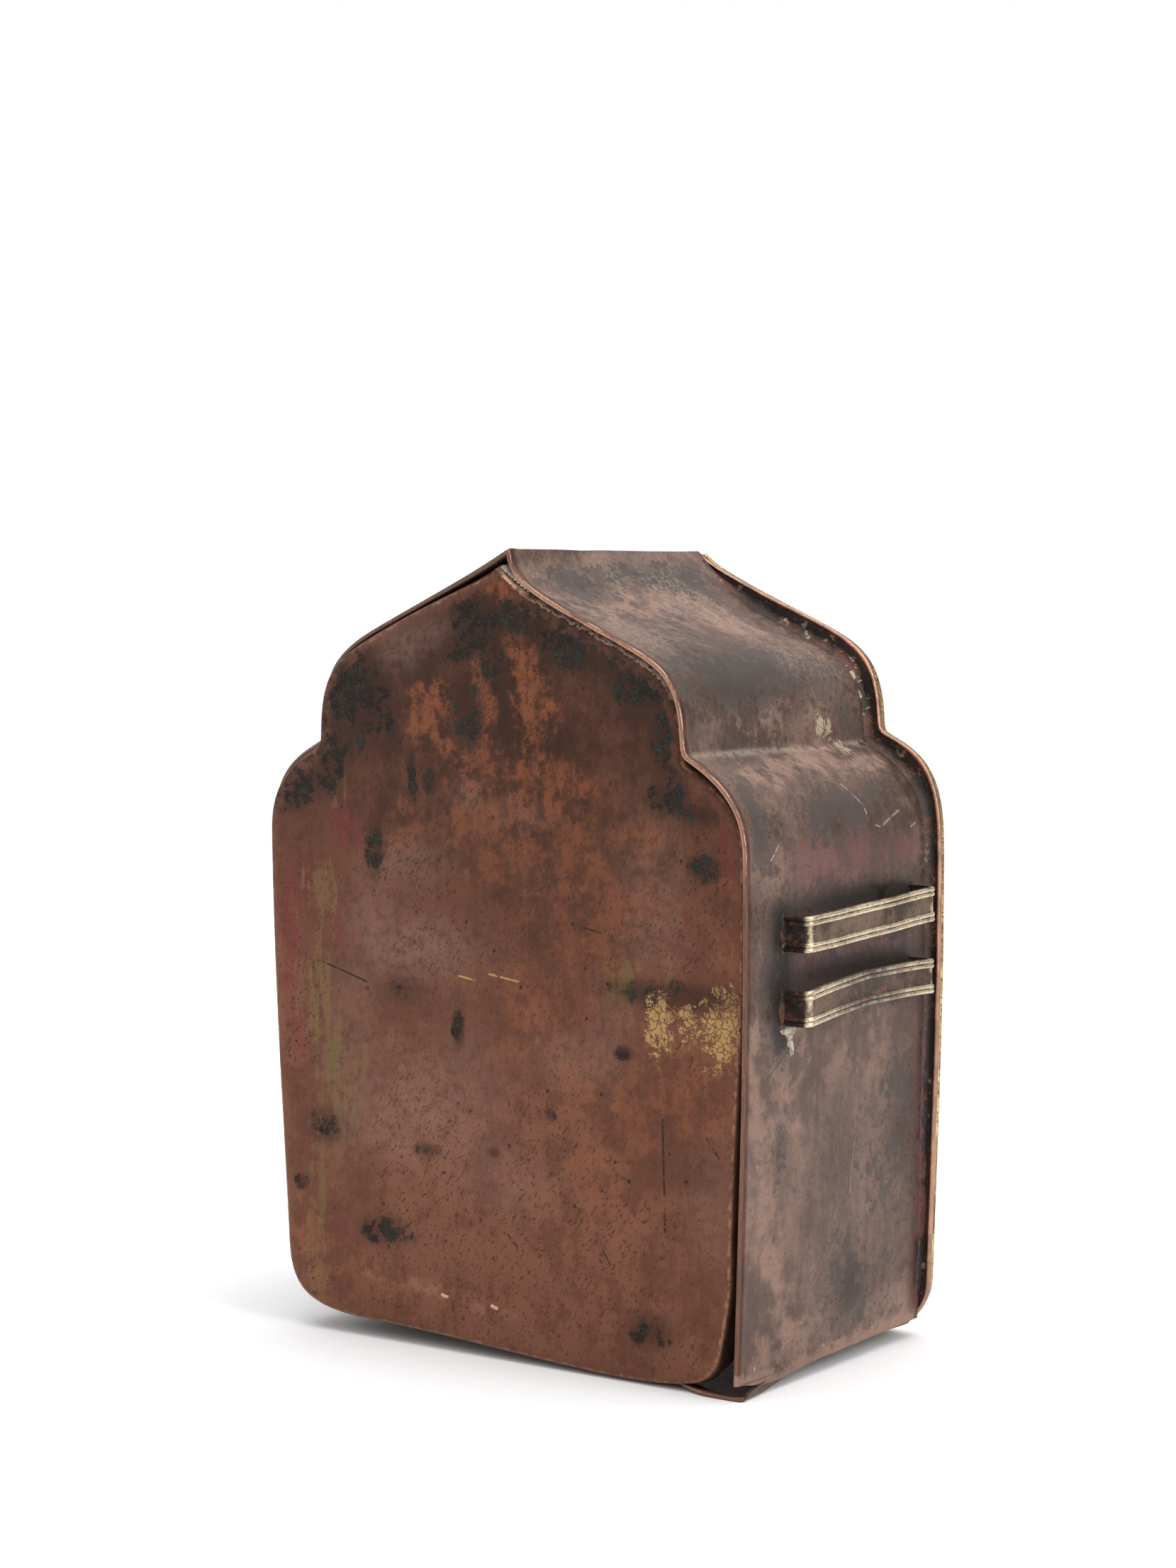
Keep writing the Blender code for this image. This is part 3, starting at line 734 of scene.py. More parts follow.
# %% The four loops
def side_place(side, height):
    line = side_line(spread(side, 0.0), -0.35)
    return float(np.interp(-height, -line[:, 1], line[:, 0]))


def make_loop(name, solid, side, height, rise, kink, seed):
    """One loop that replaces a solid. Its ends stand at height and height + rise."""
    path, lift = loop_path(rise, kink)
    run = np.gradient(path, axis=0)
    run /= np.linalg.norm(run, axis=1)[:, None]
    out = np.stack((run[:, 1], -run[:, 0]), axis=1)
    half = LOOP_WIDTH / 2
    top = [(a, rib_height(a)) for a in np.linspace(-half, half, 45)]
    section = [(a, LOOP_RIB * h, h) for a, h in top]
    section += [(a, -LOOP_SHEET * 0.75, 0.0) for a in np.linspace(half, -half, 9)]
    wall = side_place(side, height)
    grid, ribs = [], []
    stand_off = path[:, 0] / LOOP_STANDOFF
    foot = 1 - ease((stand_off - 0.72) * 4.5)
    from_end = np.minimum(path[:, 1] - LOOP_REAR, LOOP_REAR + LOOP_SPAN - path[:, 1])
    corner = ease(1.6 - from_end / 1.5) * ease((stand_off - 0.74) * 6)
    for across, stand, rib in section:
        place = path + out * stand
        line = np.stack((wall + place[:, 0], height + lift + across), axis=1)
        points = at_depth(placed(line, side), place[:, 1])
        points[:, 2] += 0.12 * ripple(points * np.array((0.2, 1, 0.2)), 9.0, seed)
        grid.append(points)
        ribs.append(np.full(len(path), rib))
    grid = np.stack(grid, axis=1)
    values = {"rib": np.stack(ribs, axis=1)}
    for key, value in (("foot", foot), ("corner", corner)):
        values[key] = np.repeat(value[:, None], grid.shape[1], axis=1)
    loop = grid_object(name, grid, values=values)
    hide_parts(solid)
    return loop


loops = []
for side, end in ((-1, "minus_x"), (1, "plus_x")):
    for level, height, rise, kink in LOOP_PLACES:
        shape = (height, rise, kink if side < 0 else 0.0, len(loops) + 20)
        loops.append(make_loop(f"{level}_ribbon_{end}", f"strap_loop_{level}_{end}", side, *shape))

# %% [markdown]
# ## Solder and crust
# The band is soldered to the frame, and the loops to the sides. Solder, verdigris and old dirt
# fill each corner with a lumpy hollow curve, which hides the joint. For the long seam we sweep
# that curve along the band and disturb it with noise. The feet get small mounds, there is a
# drip below the lower loop, and pale filler sits beside the cover's apex. The same lumpy eggs,
# small and in rows, make the beads of the gilt face.

# %% The seam round the case
SEAM_REACH = 1.8
SEAM_RUN = 1.3
SEAM_LUMPS = ((0.34, 4.5, 31), (0.2, 1.6, 32), (0.1, 0.7, 33))

seam_line = strip(CASE_FRONT)[0][:-14]
normal = outward(seam_line, 1)
gaps = np.linalg.norm(seam_line[:, None] - outer[None], axis=2).min(axis=1)
room = np.clip((gaps - 1.2) / SEAM_REACH, 0.0, 1.0)
from_end = np.minimum(np.arange(len(seam_line)), np.arange(len(seam_line))[::-1])
room = softened((room * ease((from_end - 1) / 6.0))[:, None], 8)[:, 0]
corner_depth = CASE_DEPTH - FRAME_SHEET + 0.04
section = []
for t in np.radians(np.linspace(0, 90, 11)):
    out, back_off = SEAM_REACH * (1 - math.cos(t)), SEAM_RUN * (1 - math.sin(t))
    section.append((0.02 + out, corner_depth - back_off, math.sin(2 * t)))
for out, behind in ((SEAM_REACH, 0.05), (-0.12, 0.05), (-0.12, -SEAM_RUN)):
    section.append((out, corner_depth + behind, 0.0))
grid, share = [], []
for offset, depth, lump in section:
    base = at_depth(seam_line, depth)
    rise = lump * room * rippled(base, *SEAM_LUMPS)
    width = room * (1 + 0.25 * ripple(base, 17.0, 34))
    flat = seam_line + normal * (np.maximum(offset * width, -0.12) + rise)[:, None]
    flat[:, 1] = np.maximum(flat[:, 1], 0.03)
    grid.append(at_depth(flat, depth - rise * 0.7))
    share.append(np.full(len(flat), offset / SEAM_REACH))
seam = grid_object("seam_crust", np.stack(grid, axis=1), values={"share": np.stack(share, axis=1)})


# %% Mounds of solder
def mound(place, reach, seed, steps=14):
    """A lumpy egg at a place, as (points, faces), reaching reach mm along each axis."""
    bm = bmesh.new()
    bmesh.ops.create_uvsphere(bm, u_segments=steps * 2, v_segments=steps, radius=1.0)
    for vert in bm.verts:
        rough = 1 + 0.22 * noise.noise(vert.co * 1.7 + Vector((seed * 5.0,) * 3))
        rough += 0.12 * noise.noise(vert.co * 4.0 + Vector((seed * 9.0,) * 3))
        vert.co = Vector(place) + Vector([c * r * rough for c, r in zip(vert.co, reach)])
    points = [vert.co * MM for vert in bm.verts]
    faces = [[vert.index for vert in face.verts] for face in bm.faces]
    bm.free()
    return points, faces


def mounds(name, items, steps=14):
    points, faces = [], []
    for seed, (place, reach) in enumerate(items):
        new_points, new_faces = mound(place, reach, seed + 1, steps)
        faces += [[index + len(points) for index in face] for face in new_faces]
        points += new_points
    mesh = bpy.data.meshes.new(name)
    mesh.from_pydata(points, [], faces)
    return finish_mesh(name, mesh, 180)


solder_items = []
for side in (-1, 1):
    for _, height, rise, _ in LOOP_PLACES:
        for depth, lift in ((LOOP_REAR, 0.0), (LOOP_REAR + LOOP_SPAN, rise)):
            stand_off = 0.25 + (SIDE_PUSH * 0.8 if side < 0 else 0.0)
            flat = placed(v2(side_place(side, height) + stand_off, height + lift), side)[0]
            solder_items.append(((flat[0], BACK - depth, flat[1]), (0.55, 1.15, 3.6)))
solder = mounds("solder_mounds", solder_items)
store(solder.data, "share", np.ones(len(solder.data.vertices)))
wall = -side_place(-1, 63.0) - FAR_EXTRA / 2 - SIDE_PUSH
filler_items = [
    ((wall, 18.9, 65.7), (0.7, 1.5, 0.8)),
    ((wall + 0.2, 18.1, 64.4), (0.6, 0.6, 1.3)),
    ((wall + 0.1, 17.8, 62.3), (0.6, 0.42, 1.5)),
]
for share in np.linspace(0, 1, 9):
    x, z = mix(v2(-3.4, 149.3), v2(-9.5, 144.9), share)
    filler_items.append(((x, BACK - 1.3, z), (0.9, 1.1, 0.62 - 0.3 * share)))
filler = mounds("pale_filler", filler_items)


# %% Rows of beads on the gilt face
def strung(outline, gap):
    """Places about gap mm apart along a closed outline."""
    closed = np.vstack((outline, outline[:1]))
    length = lengths(closed)
    at = np.linspace(0, length[-1], round(length[-1] / gap) + 1)[:-1]
    return np.stack([np.interp(at, length, closed[:, k]) for k in (0, 1)], axis=1)


BEAD_GAP = 1.6
BEAD_REACH = (0.62, 0.5, 0.62)

bead_items = []
for row in (face_outline(FACE_BORDER + 1.0), window_outline(WINDOW_MOULDING + 1.0)):
    bead_items += [((x, BACK - FACE_DEPTH, z), BEAD_REACH) for x, z in strung(row, BEAD_GAP)]
beads = mounds("gilt_beads", bead_items, 5)
store(beads.data, "hollow", np.full(len(beads.data.vertices), 0.2))

# %% [markdown]
# ## Nodes in a few words
# A worn metal needs dozens of shader nodes, and most of them do sums with masks. Here the output
# of a node is a Term, which Python can add and multiply: 0.5 * soot + dust makes two Math nodes.
# Four more helpers mix colours, turn a range of values into a mask, read what is painted on a
# mesh, and lay colours over each other. Effects that metals share become node groups.

# %% Node helpers
class Term:
    """A node's output, which can be added, subtracted, multiplied and divided."""

    def __init__(self, socket):
        self.socket = socket


for method, operation in (("add", "ADD"), ("sub", "SUBTRACT"), ("mul", "MULTIPLY"), ("truediv", "DIVIDE")):
    setattr(Term, f"__{method}__", lambda a, b, operation=operation: maths(operation, a, b))
    setattr(Term, f"__r{method}__", lambda a, b, operation=operation: maths(operation, b, a))


def work_on(new_tree):
    """Names the tree that all the other helpers add their nodes to."""
    global tree
    tree = new_tree


def put(socket, value):
    """Links a Term to a socket, or sets the socket to a plain value."""
    if isinstance(value, Term):
        tree.links.new(value.socket, socket)
    else:
        socket.default_value = value


def node(kind, inputs=None, output=0, **settings):
    """Adds a node and gives one of its outputs."""
    made = tree.nodes.new("ShaderNode" + kind)
    for key, value in settings.items():
        setattr(made, key, value)
    for key, value in (inputs or {}).items():
        put(made.inputs[key], value)
    return Term(made.outputs[output])


def maths(operation, a, b=0.0, clamp=False):
    return node("Math", {0: a, 1: b}, operation=operation, use_clamp=clamp)


def vector(operation, a, b, output=0):
    return node("VectorMath", {0: a, 1: b}, output, operation=operation)


def axis(place, number):
    return node("SeparateXYZ", {0: place}, number)


def mixed(share, a, b):
    a, b = [(*colour, 1.0) if isinstance(colour, tuple) else colour for colour in (a, b)]
    return node("Mix", {0: share, 6: a, 7: b}, 2, data_type="RGBA")


def layered(colour, *layers):
    """Lays colours over the first one, each given as (share, colour)."""
    for share, over in layers:
        colour = mixed(share, colour, over)
    return colour


def between(value, low, high, first=0.0, last=1.0):
    """Runs smoothly from first to last while value runs from low to high."""
    return node("MapRange", {0: value, 1: low, 2: high, 3: first, 4: last}, interpolation_type="SMOOTHSTEP")


def painted(name):
    """What is stored on the mesh's points under a name."""
    return node("Attribute", None, "Fac", attribute_name=name, attribute_type="GEOMETRY")


def stretched(place, stretch, shift):
    return vector("ADD", vector("MULTIPLY", place, stretch), (shift, shift * 0.7, -shift))


def cloud(place, size, detail, roughness, low=0.34, high=0.66):
    """Noise with blobs of about size mm, spread over 0 to 1."""
    inputs = {"Vector": place, "Scale": 1 / size, "Detail": detail, "Roughness": roughness}
    return between(node("TexNoise", inputs), low, high)


def new_group(name, ins, outs, results):
    """A node group. results is a function that makes its outputs of its inputs."""
    group = bpy.data.node_groups.new(name, "ShaderNodeTree")
    for label, start in ins.items():
        kind = "NodeSocketFloat" if isinstance(start, float) else "NodeSocketVector"
        group.interface.new_socket(label, in_out="INPUT", socket_type=kind).default_value = start
    for label in outs:
        group.interface.new_socket(label, in_out="OUTPUT", socket_type="NodeSocketFloat")
    work_on(group)
    given = group.nodes.new("NodeGroupInput").outputs
    last = group.nodes.new("NodeGroupOutput").inputs
    for label, term in zip(outs, results(*[Term(given[label]) for label in ins])):
        put(last[label], term)
    print(name, "has", len(group.nodes), "nodes")
    return group


def use(group, inputs):
    """Places a group in the tree and gives its outputs by name."""
    made = tree.nodes.new("ShaderNodeGroup")
    made.node_tree = group
    for key, value in inputs.items():
        put(made.inputs[key], value)
    return {socket.name: Term(socket) for socket in made.outputs}


# %% [markdown]
# ## Shared effects
# Old copper is mottled at every scale, from hand-wide clouds to grains. One group gives all of
# those patterns for a position in mm. A second turns a soft painted mask into a stain with a
# ragged edge, a third wears the edges, and a fourth draws a line used for scratches and painted glints.

# %% Mottled metal
ORIGIN = (0.0, 0.0, 0.0)
MOTTLES = ("Broad", "Patchy", "Fine", "Grain", "Streak", "Pits", "Cracks", "Flecks")
PIT_CELL = 3.1
CRACK_CELL = 1.7


def mottles_at(place):
    """One Term for each name in MOTTLES, from 0 to 1, at a place in mm."""
    cells = {"Vector": place, "Scale": 1 / PIT_CELL}
    dots = between(node("TexVoronoi", cells, "Distance"), 0.06, 0.17, 1.0, 0.0)
    chosen = node("SeparateColor", {0: node("TexVoronoi", cells, "Color")})
    warp = node("TexNoise", {"Vector": place, "Scale": 1 / 1.6, "Detail": 3.0}, 1)
    warp = vector("ADD", place, vector("MULTIPLY", warp, (1.8, 1.8, 1.8)))
    plates = node("TexVoronoi", {"Vector": warp, "Scale": 1 / CRACK_CELL}, feature="DISTANCE_TO_EDGE")
    tilted = node("VectorRotate", {"Vector": place, "Angle": 0.7}, rotation_type="Y_AXIS")
    return (
        cloud(place, 24.0, 4, 0.55),
        cloud(stretched(place, (1, 1, 1), 31.0), 7.5, 7, 0.66),
        cloud(stretched(place, (1, 1, 1), 57.0), 2.2, 6, 0.7),
        cloud(place, 0.45, 3, 0.6, 0.3, 0.7),
        cloud(stretched(place, (1, 1, 0.14), 83.0), 1.9, 6, 0.66),
        dots * between(chosen, 0.80, 0.84),
        between(plates, 0.015, 0.09, 1.0, 0.0),
        cloud(stretched(tilted, (1.6, 1, 0.75), 11.0), 0.8, 3, 0.55, 0.57, 0.64),
    )


mottle = new_group("mottled metal", {"Position": ORIGIN}, MOTTLES, mottles_at)


# %% Stains, worn edges and scratches
def stain_mask(paint, rough, fine, ragged, edge):
    torn = (rough - 0.5) * ragged + (fine - 0.5) * ragged * 0.6
    return [between(paint + torn * between(paint, 0.0, 0.3), 0.5 - edge, 0.5 + edge)]


def edge_mask(distance, width, rough, breaks):
    return [between(distance / width + (rough - 0.5) * breaks, 0.45, 1.0, 1.0, 0.0)]


def line_mark_mask(position, start, end, width, rough):
    line = vector("SUBTRACT", end, start)
    away = vector("SUBTRACT", position, start)
    square = vector("DOT_PRODUCT", line, line, 1)
    along = maths("DIVIDE", vector("DOT_PRODUCT", away, line, 1), square, clamp=True)
    nearest = node("VectorMath", {0: line, "Scale": along}, operation="SCALE")
    gap = vector("DISTANCE", away, nearest, 1) / width
    return [between(gap, 0.5, 1.1, 1.0, 0.0) * between(rough, 0.25, 0.5)]


stain = new_group(
    "ragged stain",
    {"Paint": 0.0, "Noise": 0.5, "Fine Noise": 0.5, "Ragged": 0.7, "Edge": 0.12},
    ["Mask"],
    stain_mask,
)
edge_wear = new_group(
    "edge wear", {"Distance": 0.0, "Width": 1.0, "Noise": 0.5, "Breaks": 0.5}, ["Mask"], edge_mask
)
line_mark = new_group(
    "line_mark",
    {"Position": ORIGIN, "From": ORIGIN, "To": (0.0, 0.0, 1.0), "Width": 0.2, "Noise": 0.5},
    ["Mask"],
    line_mark_mask,
)


def stained(paint, ragged, edge, rough=None, fine=None):
    """A painted mask with a ragged edge."""
    inputs = {"Paint": paint, "Noise": rough or marks.patchy, "Fine Noise": fine or marks.fine}
    return use(stain, {**inputs, "Ragged": ragged, "Edge": edge})["Mask"]


def worn_edge(name, width, breaks, rough=None):
    """Wear near an edge, by the distance painted under a name."""
    inputs = {"Distance": painted(name), "Width": width, "Noise": rough or marks.fine, "Breaks": breaks}
    return use(edge_wear, inputs)["Mask"]


def drawn_marks(scratches, across):
    """The masks of the scratches and painted glints by kind. across is the axis that they go straight
    through.
    """
    flat_place = vector("MULTIPLY", place, tuple(np.insert((1.0, 1.0), across, 0.0)))
    masks = {}
    for first, last, width, kind in scratches:
        inputs = {"Position": flat_place, "Width": width, "Noise": marks.fine}
        for key, end in (("From", first), ("To", last)):
            inputs[key] = tuple(np.insert(end, across, 0.0))
        one = use(line_mark, inputs)["Mask"]
        masks[kind] = maths("MAXIMUM", masks[kind], one) if kind in masks else one
    return masks


# %% Starting and finishing a metal
def start_metal(name):
    """A new material, with the position in mm and the mottled patterns."""
    material = bpy.data.materials.new(name)
    material.use_nodes = True
    work_on(material.node_tree)
    place = vector("MULTIPLY", node("TexCoord", output="Object"), (1 / MM,) * 3)
    patterns = use(mottle, {"Position": place})
    return material, place, SimpleNamespace(**{key.lower(): term for key, term in patterns.items()})


def finish_metal(material, pieces, relief, colour, roughness, metallic, height):
    """Links the results to the shader, and gives it to pieces. height is 0 to 1 over relief mm."""
    bump = node("Bump", {"Height": height, "Distance": relief * MM, "Strength": 1.0})
    results = {"Base Color": colour, "Roughness": roughness, "Metallic": metallic, "Normal": bump}
    for key, term in results.items():
        put(tree.nodes["Principled BSDF"].inputs[key], term)
    for piece in pieces:
        piece.data.materials.append(material)
    print(material.name, "has", len(tree.nodes), "nodes")


# %% Painting soft masks on a sheet
def paint(obj, side, spots_by_name):
    """Stores each mask on the points. Its spots are (along side, up, wide, high, strength)."""
    co = np.empty(len(obj.data.vertices) * 3)
    obj.data.vertices.foreach_get("co", co)
    co = co.reshape(-1, 3) / MM
    for name, spots in spots_by_name.items():
        left = np.ones(len(co))
        for x, y, wide, high, strength in spots:
            square = ((co[:, side] - x) / (wide * 1.25)) ** 2 + ((co[:, 2] - y) / (high * 1.25)) ** 2
            left *= 1 - strength * np.exp(-0.7 * square**1.3)
        store(obj.data, name, 1 - left)
    print("painted", sum(map(len, spots_by_name.values())), "spots on", obj.name)
    return co


# %% [markdown]
# ## Red copper, for the cover
# The cover is bright red-brown where hands and cloth kept it polished, orange where it was
# rubbed bare, and covered with a black-green crust under its top edges. There are crimson and
# olive stains down its +X edge and a crackled patch of old gilding at its -X edge. Each kind is
# painted softly at its place, and the shader breaks the edges, as acid and dirt do.

# %% Places of the stains on the cover
COVER_SPOTS = {
    "dark": (
        (3.2, 139.2, 3.5, 3.8, 0.75), (-11.3, 140.1, 5.0, 3.0, 0.9), (-20.9, 135.4, 5.8, 3.2, 0.9),
        (-37.2, 129.0, 5.6, 4.3, 0.95), (-41.9, 117.9, 3.2, 4.4, 0.85), (-40.2, 107.5, 3.5, 2.2, 0.6),
        (-48.4, 95.1, 2.4, 1.7, 0.95), (33.5, 125.0, 6.0, 7.3, 0.8), (50.3, 107.5, 4.4, 3.4, 0.8),
        (28.9, 96.3, 1.6, 4.6, 0.7), (5.1, 121.4, 3.0, 4.3, 0.55), (26.7, 21.6, 5.4, 2.4, 0.5),
        (42.7, 40.8, 4.6, 2.6, 0.5), (48.5, 29.2, 1.5, 1.1, 0.8), (16.5, 38.5, 2.4, 1.2, 0.7),
        (0.4, 39.5, 1.2, 0.8, 0.75), (-13.3, 48.0, 1.0, 0.9, 0.75), (8.6, 62.3, 1.1, 2.7, 0.75),
        (-42.9, 71.9, 12.5, 1.9, 0.75), (-30.1, 60.6, 1.5, 1.0, 0.85), (-34.9, 10.4, 4.2, 2.7, 0.55),
        (8.1, 134.9, 2.6, 2.0, 0.5), (21.0, 69.0, 5.0, 2.3, 0.3), (-46.0, 40.7, 5.5, 3.8, 0.3),
        (40.0, 112.5, 3.4, 5.0, 0.6), (-47.5, 104.6, 3.2, 1.4, 0.7), (-28.5, 131.8, 4.0, 2.4, 0.55),
        (-44.5, 122.8, 2.2, 3.0, 0.75), (24.0, 118.5, 0.8, 2.2, 0.9), (19.0, 109.5, 0.6, 3.2, 0.95),
        (14.6, 109.0, 1.2, 1.6, 0.8), (26.5, 104.0, 1.0, 4.0, 0.5), (-1.5, 131.0, 2.2, 3.0, 0.5),
    ),
    "orange": (
        (-7.9, 132.6, 2.8, 8.0, 0.9), (14.3, 121.8, 3.9, 4.8, 0.65), (1.1, 124.0, 2.0, 10.4, 0.65),
        (22.5, 99.6, 4.3, 6.1, 0.38), (-18.0, 92.0, 8.3, 10.0, 0.4), (-35.3, 96.3, 4.8, 4.2, 0.45),
        (-39.4, 54.9, 16.7, 6.4, 0.55), (-25.5, 43.1, 8.0, 4.7, 0.4), (44.3, 16.4, 8.0, 7.7, 0.45),
        (-2.4, 145.4, 2.5, 2.5, 0.55), (-28.5, 130.4, 3.6, 2.4, 0.4), (-48.5, 105.9, 2.3, 2.8, 0.4),
        (-10.9, 116.9, 3.7, 8.9, 0.5), (-22.2, 30.7, 8.6, 6.6, 0.4), (-54.1, 85.9, 2.2, 7.6, 0.4),
        (8.0, 111.0, 2.6, 7.0, 0.45), (-12.0, 105.0, 9.0, 8.0, 0.4), (0.0, 96.0, 10.0, 6.0, 0.35),
        (20.0, 11.8, 18.5, 1.6, 0.45), (-14.0, 66.0, 10.0, 8.0, 0.4), (-30.0, 82.0, 6.0, 8.0, 0.35),
    ),
    # painted sheen: mauve patches that stand for reflections where the face tilts
    "painted_sheen": (
        (18.3, 77.0, 11.0, 5.0, 0.72), (20.9, 93.5, 7.4, 3.3, 0.55), (5.3, 106.9, 2.6, 2.0, 0.6),
        (-37.3, 88.5, 5.2, 12.0, 0.45), (21.3, 44.4, 12.8, 7.2, 0.6), (-18.8, 58.6, 7.5, 3.9, 0.55),
        (21.8, 134.4, 4.3, 3.1, 0.8), (13.7, 137.4, 4.3, 2.1, 0.6), (-5.6, 103.4, 6.4, 2.1, 0.35),
        (-27.7, 66.7, 3.6, 5.7, 0.35), (-4.5, 33.4, 9.0, 4.2, 0.4), (-50.1, 35.2, 4.6, 8.3, 0.45),
        (36.0, 60.0, 6.0, 9.0, 0.4), (8.0, 52.0, 8.0, 9.0, 0.4), (30.0, 84.0, 5.0, 5.0, 0.45),
    ),
    "crimson": (
        (36.5, 101.0, 2.7, 3.9, 0.8), (47.7, 90.2, 3.1, 4.1, 0.8), (43.3, 86.2, 9.9, 1.4, 0.6),
        (39.1, 77.9, 3.4, 4.1, 0.6), (49.2, 60.4, 1.8, 5.5, 0.8), (46.6, 39.3, 1.7, 2.4, 0.8),
        (39.2, 21.8, 1.7, 2.5, 0.6), (-45.6, 86.5, 1.0, 2.4, 0.7), (-53.7, 98.9, 1.7, 3.8, 0.5),
        (28.7, 20.9, 2.4, 1.3, 0.4), (51.0, 79.3, 1.3, 3.2, 0.7), (50.5, 70.0, 1.6, 6.0, 0.5),
        (44.0, 33.0, 1.5, 5.0, 0.5), (-44.0, 72.5, 6.0, 1.5, 0.35),
    ),
    "olive": (
        (42.8, 88.6, 3.6, 3.4, 0.75), (44.3, 65.8, 3.6, 5.1, 0.75), (37.2, 53.3, 3.6, 6.3, 0.65),
        (45.1, 24.0, 1.9, 16.0, 0.6), (38.1, 107.5, 1.7, 3.1, 0.5), (-32.6, 73.5, 6.0, 3.1, 0.5),
        (35.0, 39.4, 2.0, 3.5, 0.4), (42.0, 76.0, 2.0, 8.0, 0.5), (41.0, 45.0, 2.0, 8.0, 0.45),
        (-11.0, 3.9, 1.6, 0.7, 0.6),
    ),
    "gold": (
        (-37.8, 66.0, 1.7, 4.2, 0.95), (-38.6, 70.6, 1.5, 0.8, 0.9), (-43.6, 68.2, 2.2, 1.5, 0.7),
        (-45.5, 65.0, 1.6, 1.2, 0.65), (-52.5, 66.9, 3.9, 4.8, 0.93), (-49.6, 59.3, 1.5, 0.5, 0.8),
        (-41.5, 63.0, 1.2, 0.8, 0.6),
    ),
    "umber": (
        (3.0, 128.0, 30.0, 12.0, 0.8), (-6.0, 100.0, 22.0, 16.0, 0.45), (10.0, 84.0, 14.0, 8.0, 0.45),
        (22.0, 71.0, 6.0, 4.0, 0.8), (37.0, 80.5, 3.0, 4.0, 0.6), (-18.0, 84.0, 10.0, 6.0, 0.5),
        (-14.0, 74.0, 20.0, 7.0, 0.4), (-40.0, 120.0, 8.0, 14.0, 0.6), (45.0, 104.0, 10.0, 8.0, 0.5),
    ),
}
paint(cover, 0, COVER_SPOTS)

# %% Colours of the cover, as linear red, green and blue
DEEP_BROWN = (0.040, 0.019, 0.013)
RED_BROWN = (0.128, 0.051, 0.031)
WARM_BROWN = (0.185, 0.078, 0.047)
RUBBED_ORANGE = (0.27, 0.088, 0.038)
MAUVE = (0.275, 0.16, 0.122)
PATINA_BLACK = (0.017, 0.013, 0.011)
PATINA_GREEN = (0.024, 0.034, 0.027)
PATINA_SPECK = (0.13, 0.11, 0.07)
WORN_WHITE = (0.80, 0.70, 0.60)
CRIMSON = (0.17, 0.022, 0.034)
OLIVE = (0.16, 0.115, 0.045)
OLD_GOLD = (0.38, 0.245, 0.095)
BRIGHT_COPPER = (0.72, 0.40, 0.27)
GLINT = (0.90, 0.62, 0.48)
SCRATCHES_AND_GLINTS = (
    ((0.9, 73.2), (-8.7, 71.8), 0.22, "gold"),
    ((8.1, 72.4), (4.2, 71.8), 0.24, "gold"),
    ((-38.9, 49.3), (-39.4, 29.0), 0.3, "dark"),
    ((-3.1, 24.3), (-5.3, 22.2), 0.22, "dark"),
    ((-18.6, 83.7), (-25.4, 82.4), 0.2, "dark"),
    ((-25.3, 23.7), (-26.9, 21.4), 0.2, "dark"),
    ((43.4, 73.4), (30.9, 69.9), 0.25, "dark"),
    ((-48.5, 46.7), (-51.4, 43.1), 0.2, "dark"),
    ((-5.3, 22.2), (-5.4, 20.4), 0.2, "dark"),
    # the two bright lines are painted highlights on the small dents above the bottom edge
    ((13.4, 10.8), (12.0, 10.5), 0.36, "bright"),
    ((1.2, 10.2), (0.0, 9.9), 0.42, "bright"),
    ((33.0, 13.4), (13.0, 11.4), 1.7, "crease"),
    ((12.0, 9.8), (-4.0, 8.8), 1.3, "crease"),
)

# %% Red copper
material, place, marks = start_metal("red copper with patina")
across, up = axis(place, 0), axis(place, 2)
# The face is made darker towards its top and a little lighter towards its bottom.
top_darkening = between(up + 30.0 * marks.broad, 85.0, 150.0)
tone = 0.45 * marks.patchy + 0.12 * marks.streak + 0.3 * marks.broad + 0.2 * marks.fine
tone = tone - 0.55 * top_darkening - 0.28 * painted("umber") + between(up, 70.0, 20.0, 0.0, 0.12)
tone = tone + 0.12 * (marks.grain - 0.5)
# painted sheen: mauve reflections laid into the colour of the face
painted_sheen = painted("painted_sheen") * between(marks.fine, -0.5, 0.9) * between(up, 90.0, 125.0, 0.6, 0.45)
streaky = 0.5 * marks.streak + 0.5 * marks.fine
bare = stained(painted("orange"), 1.2, 0.42) * between(up, 90.0, 128.0, 0.3, 0.6)
bare = bare * between(streaky, 0.15, 0.7, 0.35, 1.0)
dark = painted("dark")
halo = between(dark + 0.3 * (marks.patchy - 0.5), 0.0, 0.65)
crust = stained(dark * between(up, 100.0, 114.0, 0.74, 1.0), 1.3, 0.24)
greenish = between(marks.fine, 0.5, 0.95) * between(marks.broad, 0.4, 0.7)
patina = mixed(greenish, PATINA_BLACK, PATINA_GREEN)
patina = mixed(0.35 * between(marks.grain, 0.7, 1.0), patina, PATINA_SPECK)
leaf = stained(painted("gold"), 1.15, 0.1, marks.fine, marks.grain) * (1.0 - marks.cracks)
leaf = leaf * between(marks.patchy, 0.1, 0.6, 0.45, 0.95)
drawn_lines = drawn_marks(SCRATCHES_AND_GLINTS, 1)
bright = worn_edge("edge", 0.9, 0.9)
# painted highlight along the worn edge of the -X slope, on that side only
slope = between(across, 1.0, -3.0) * between(up, 122.0, 130.0)
slope = slope * bright * between(marks.fine, 0.0, 0.5)
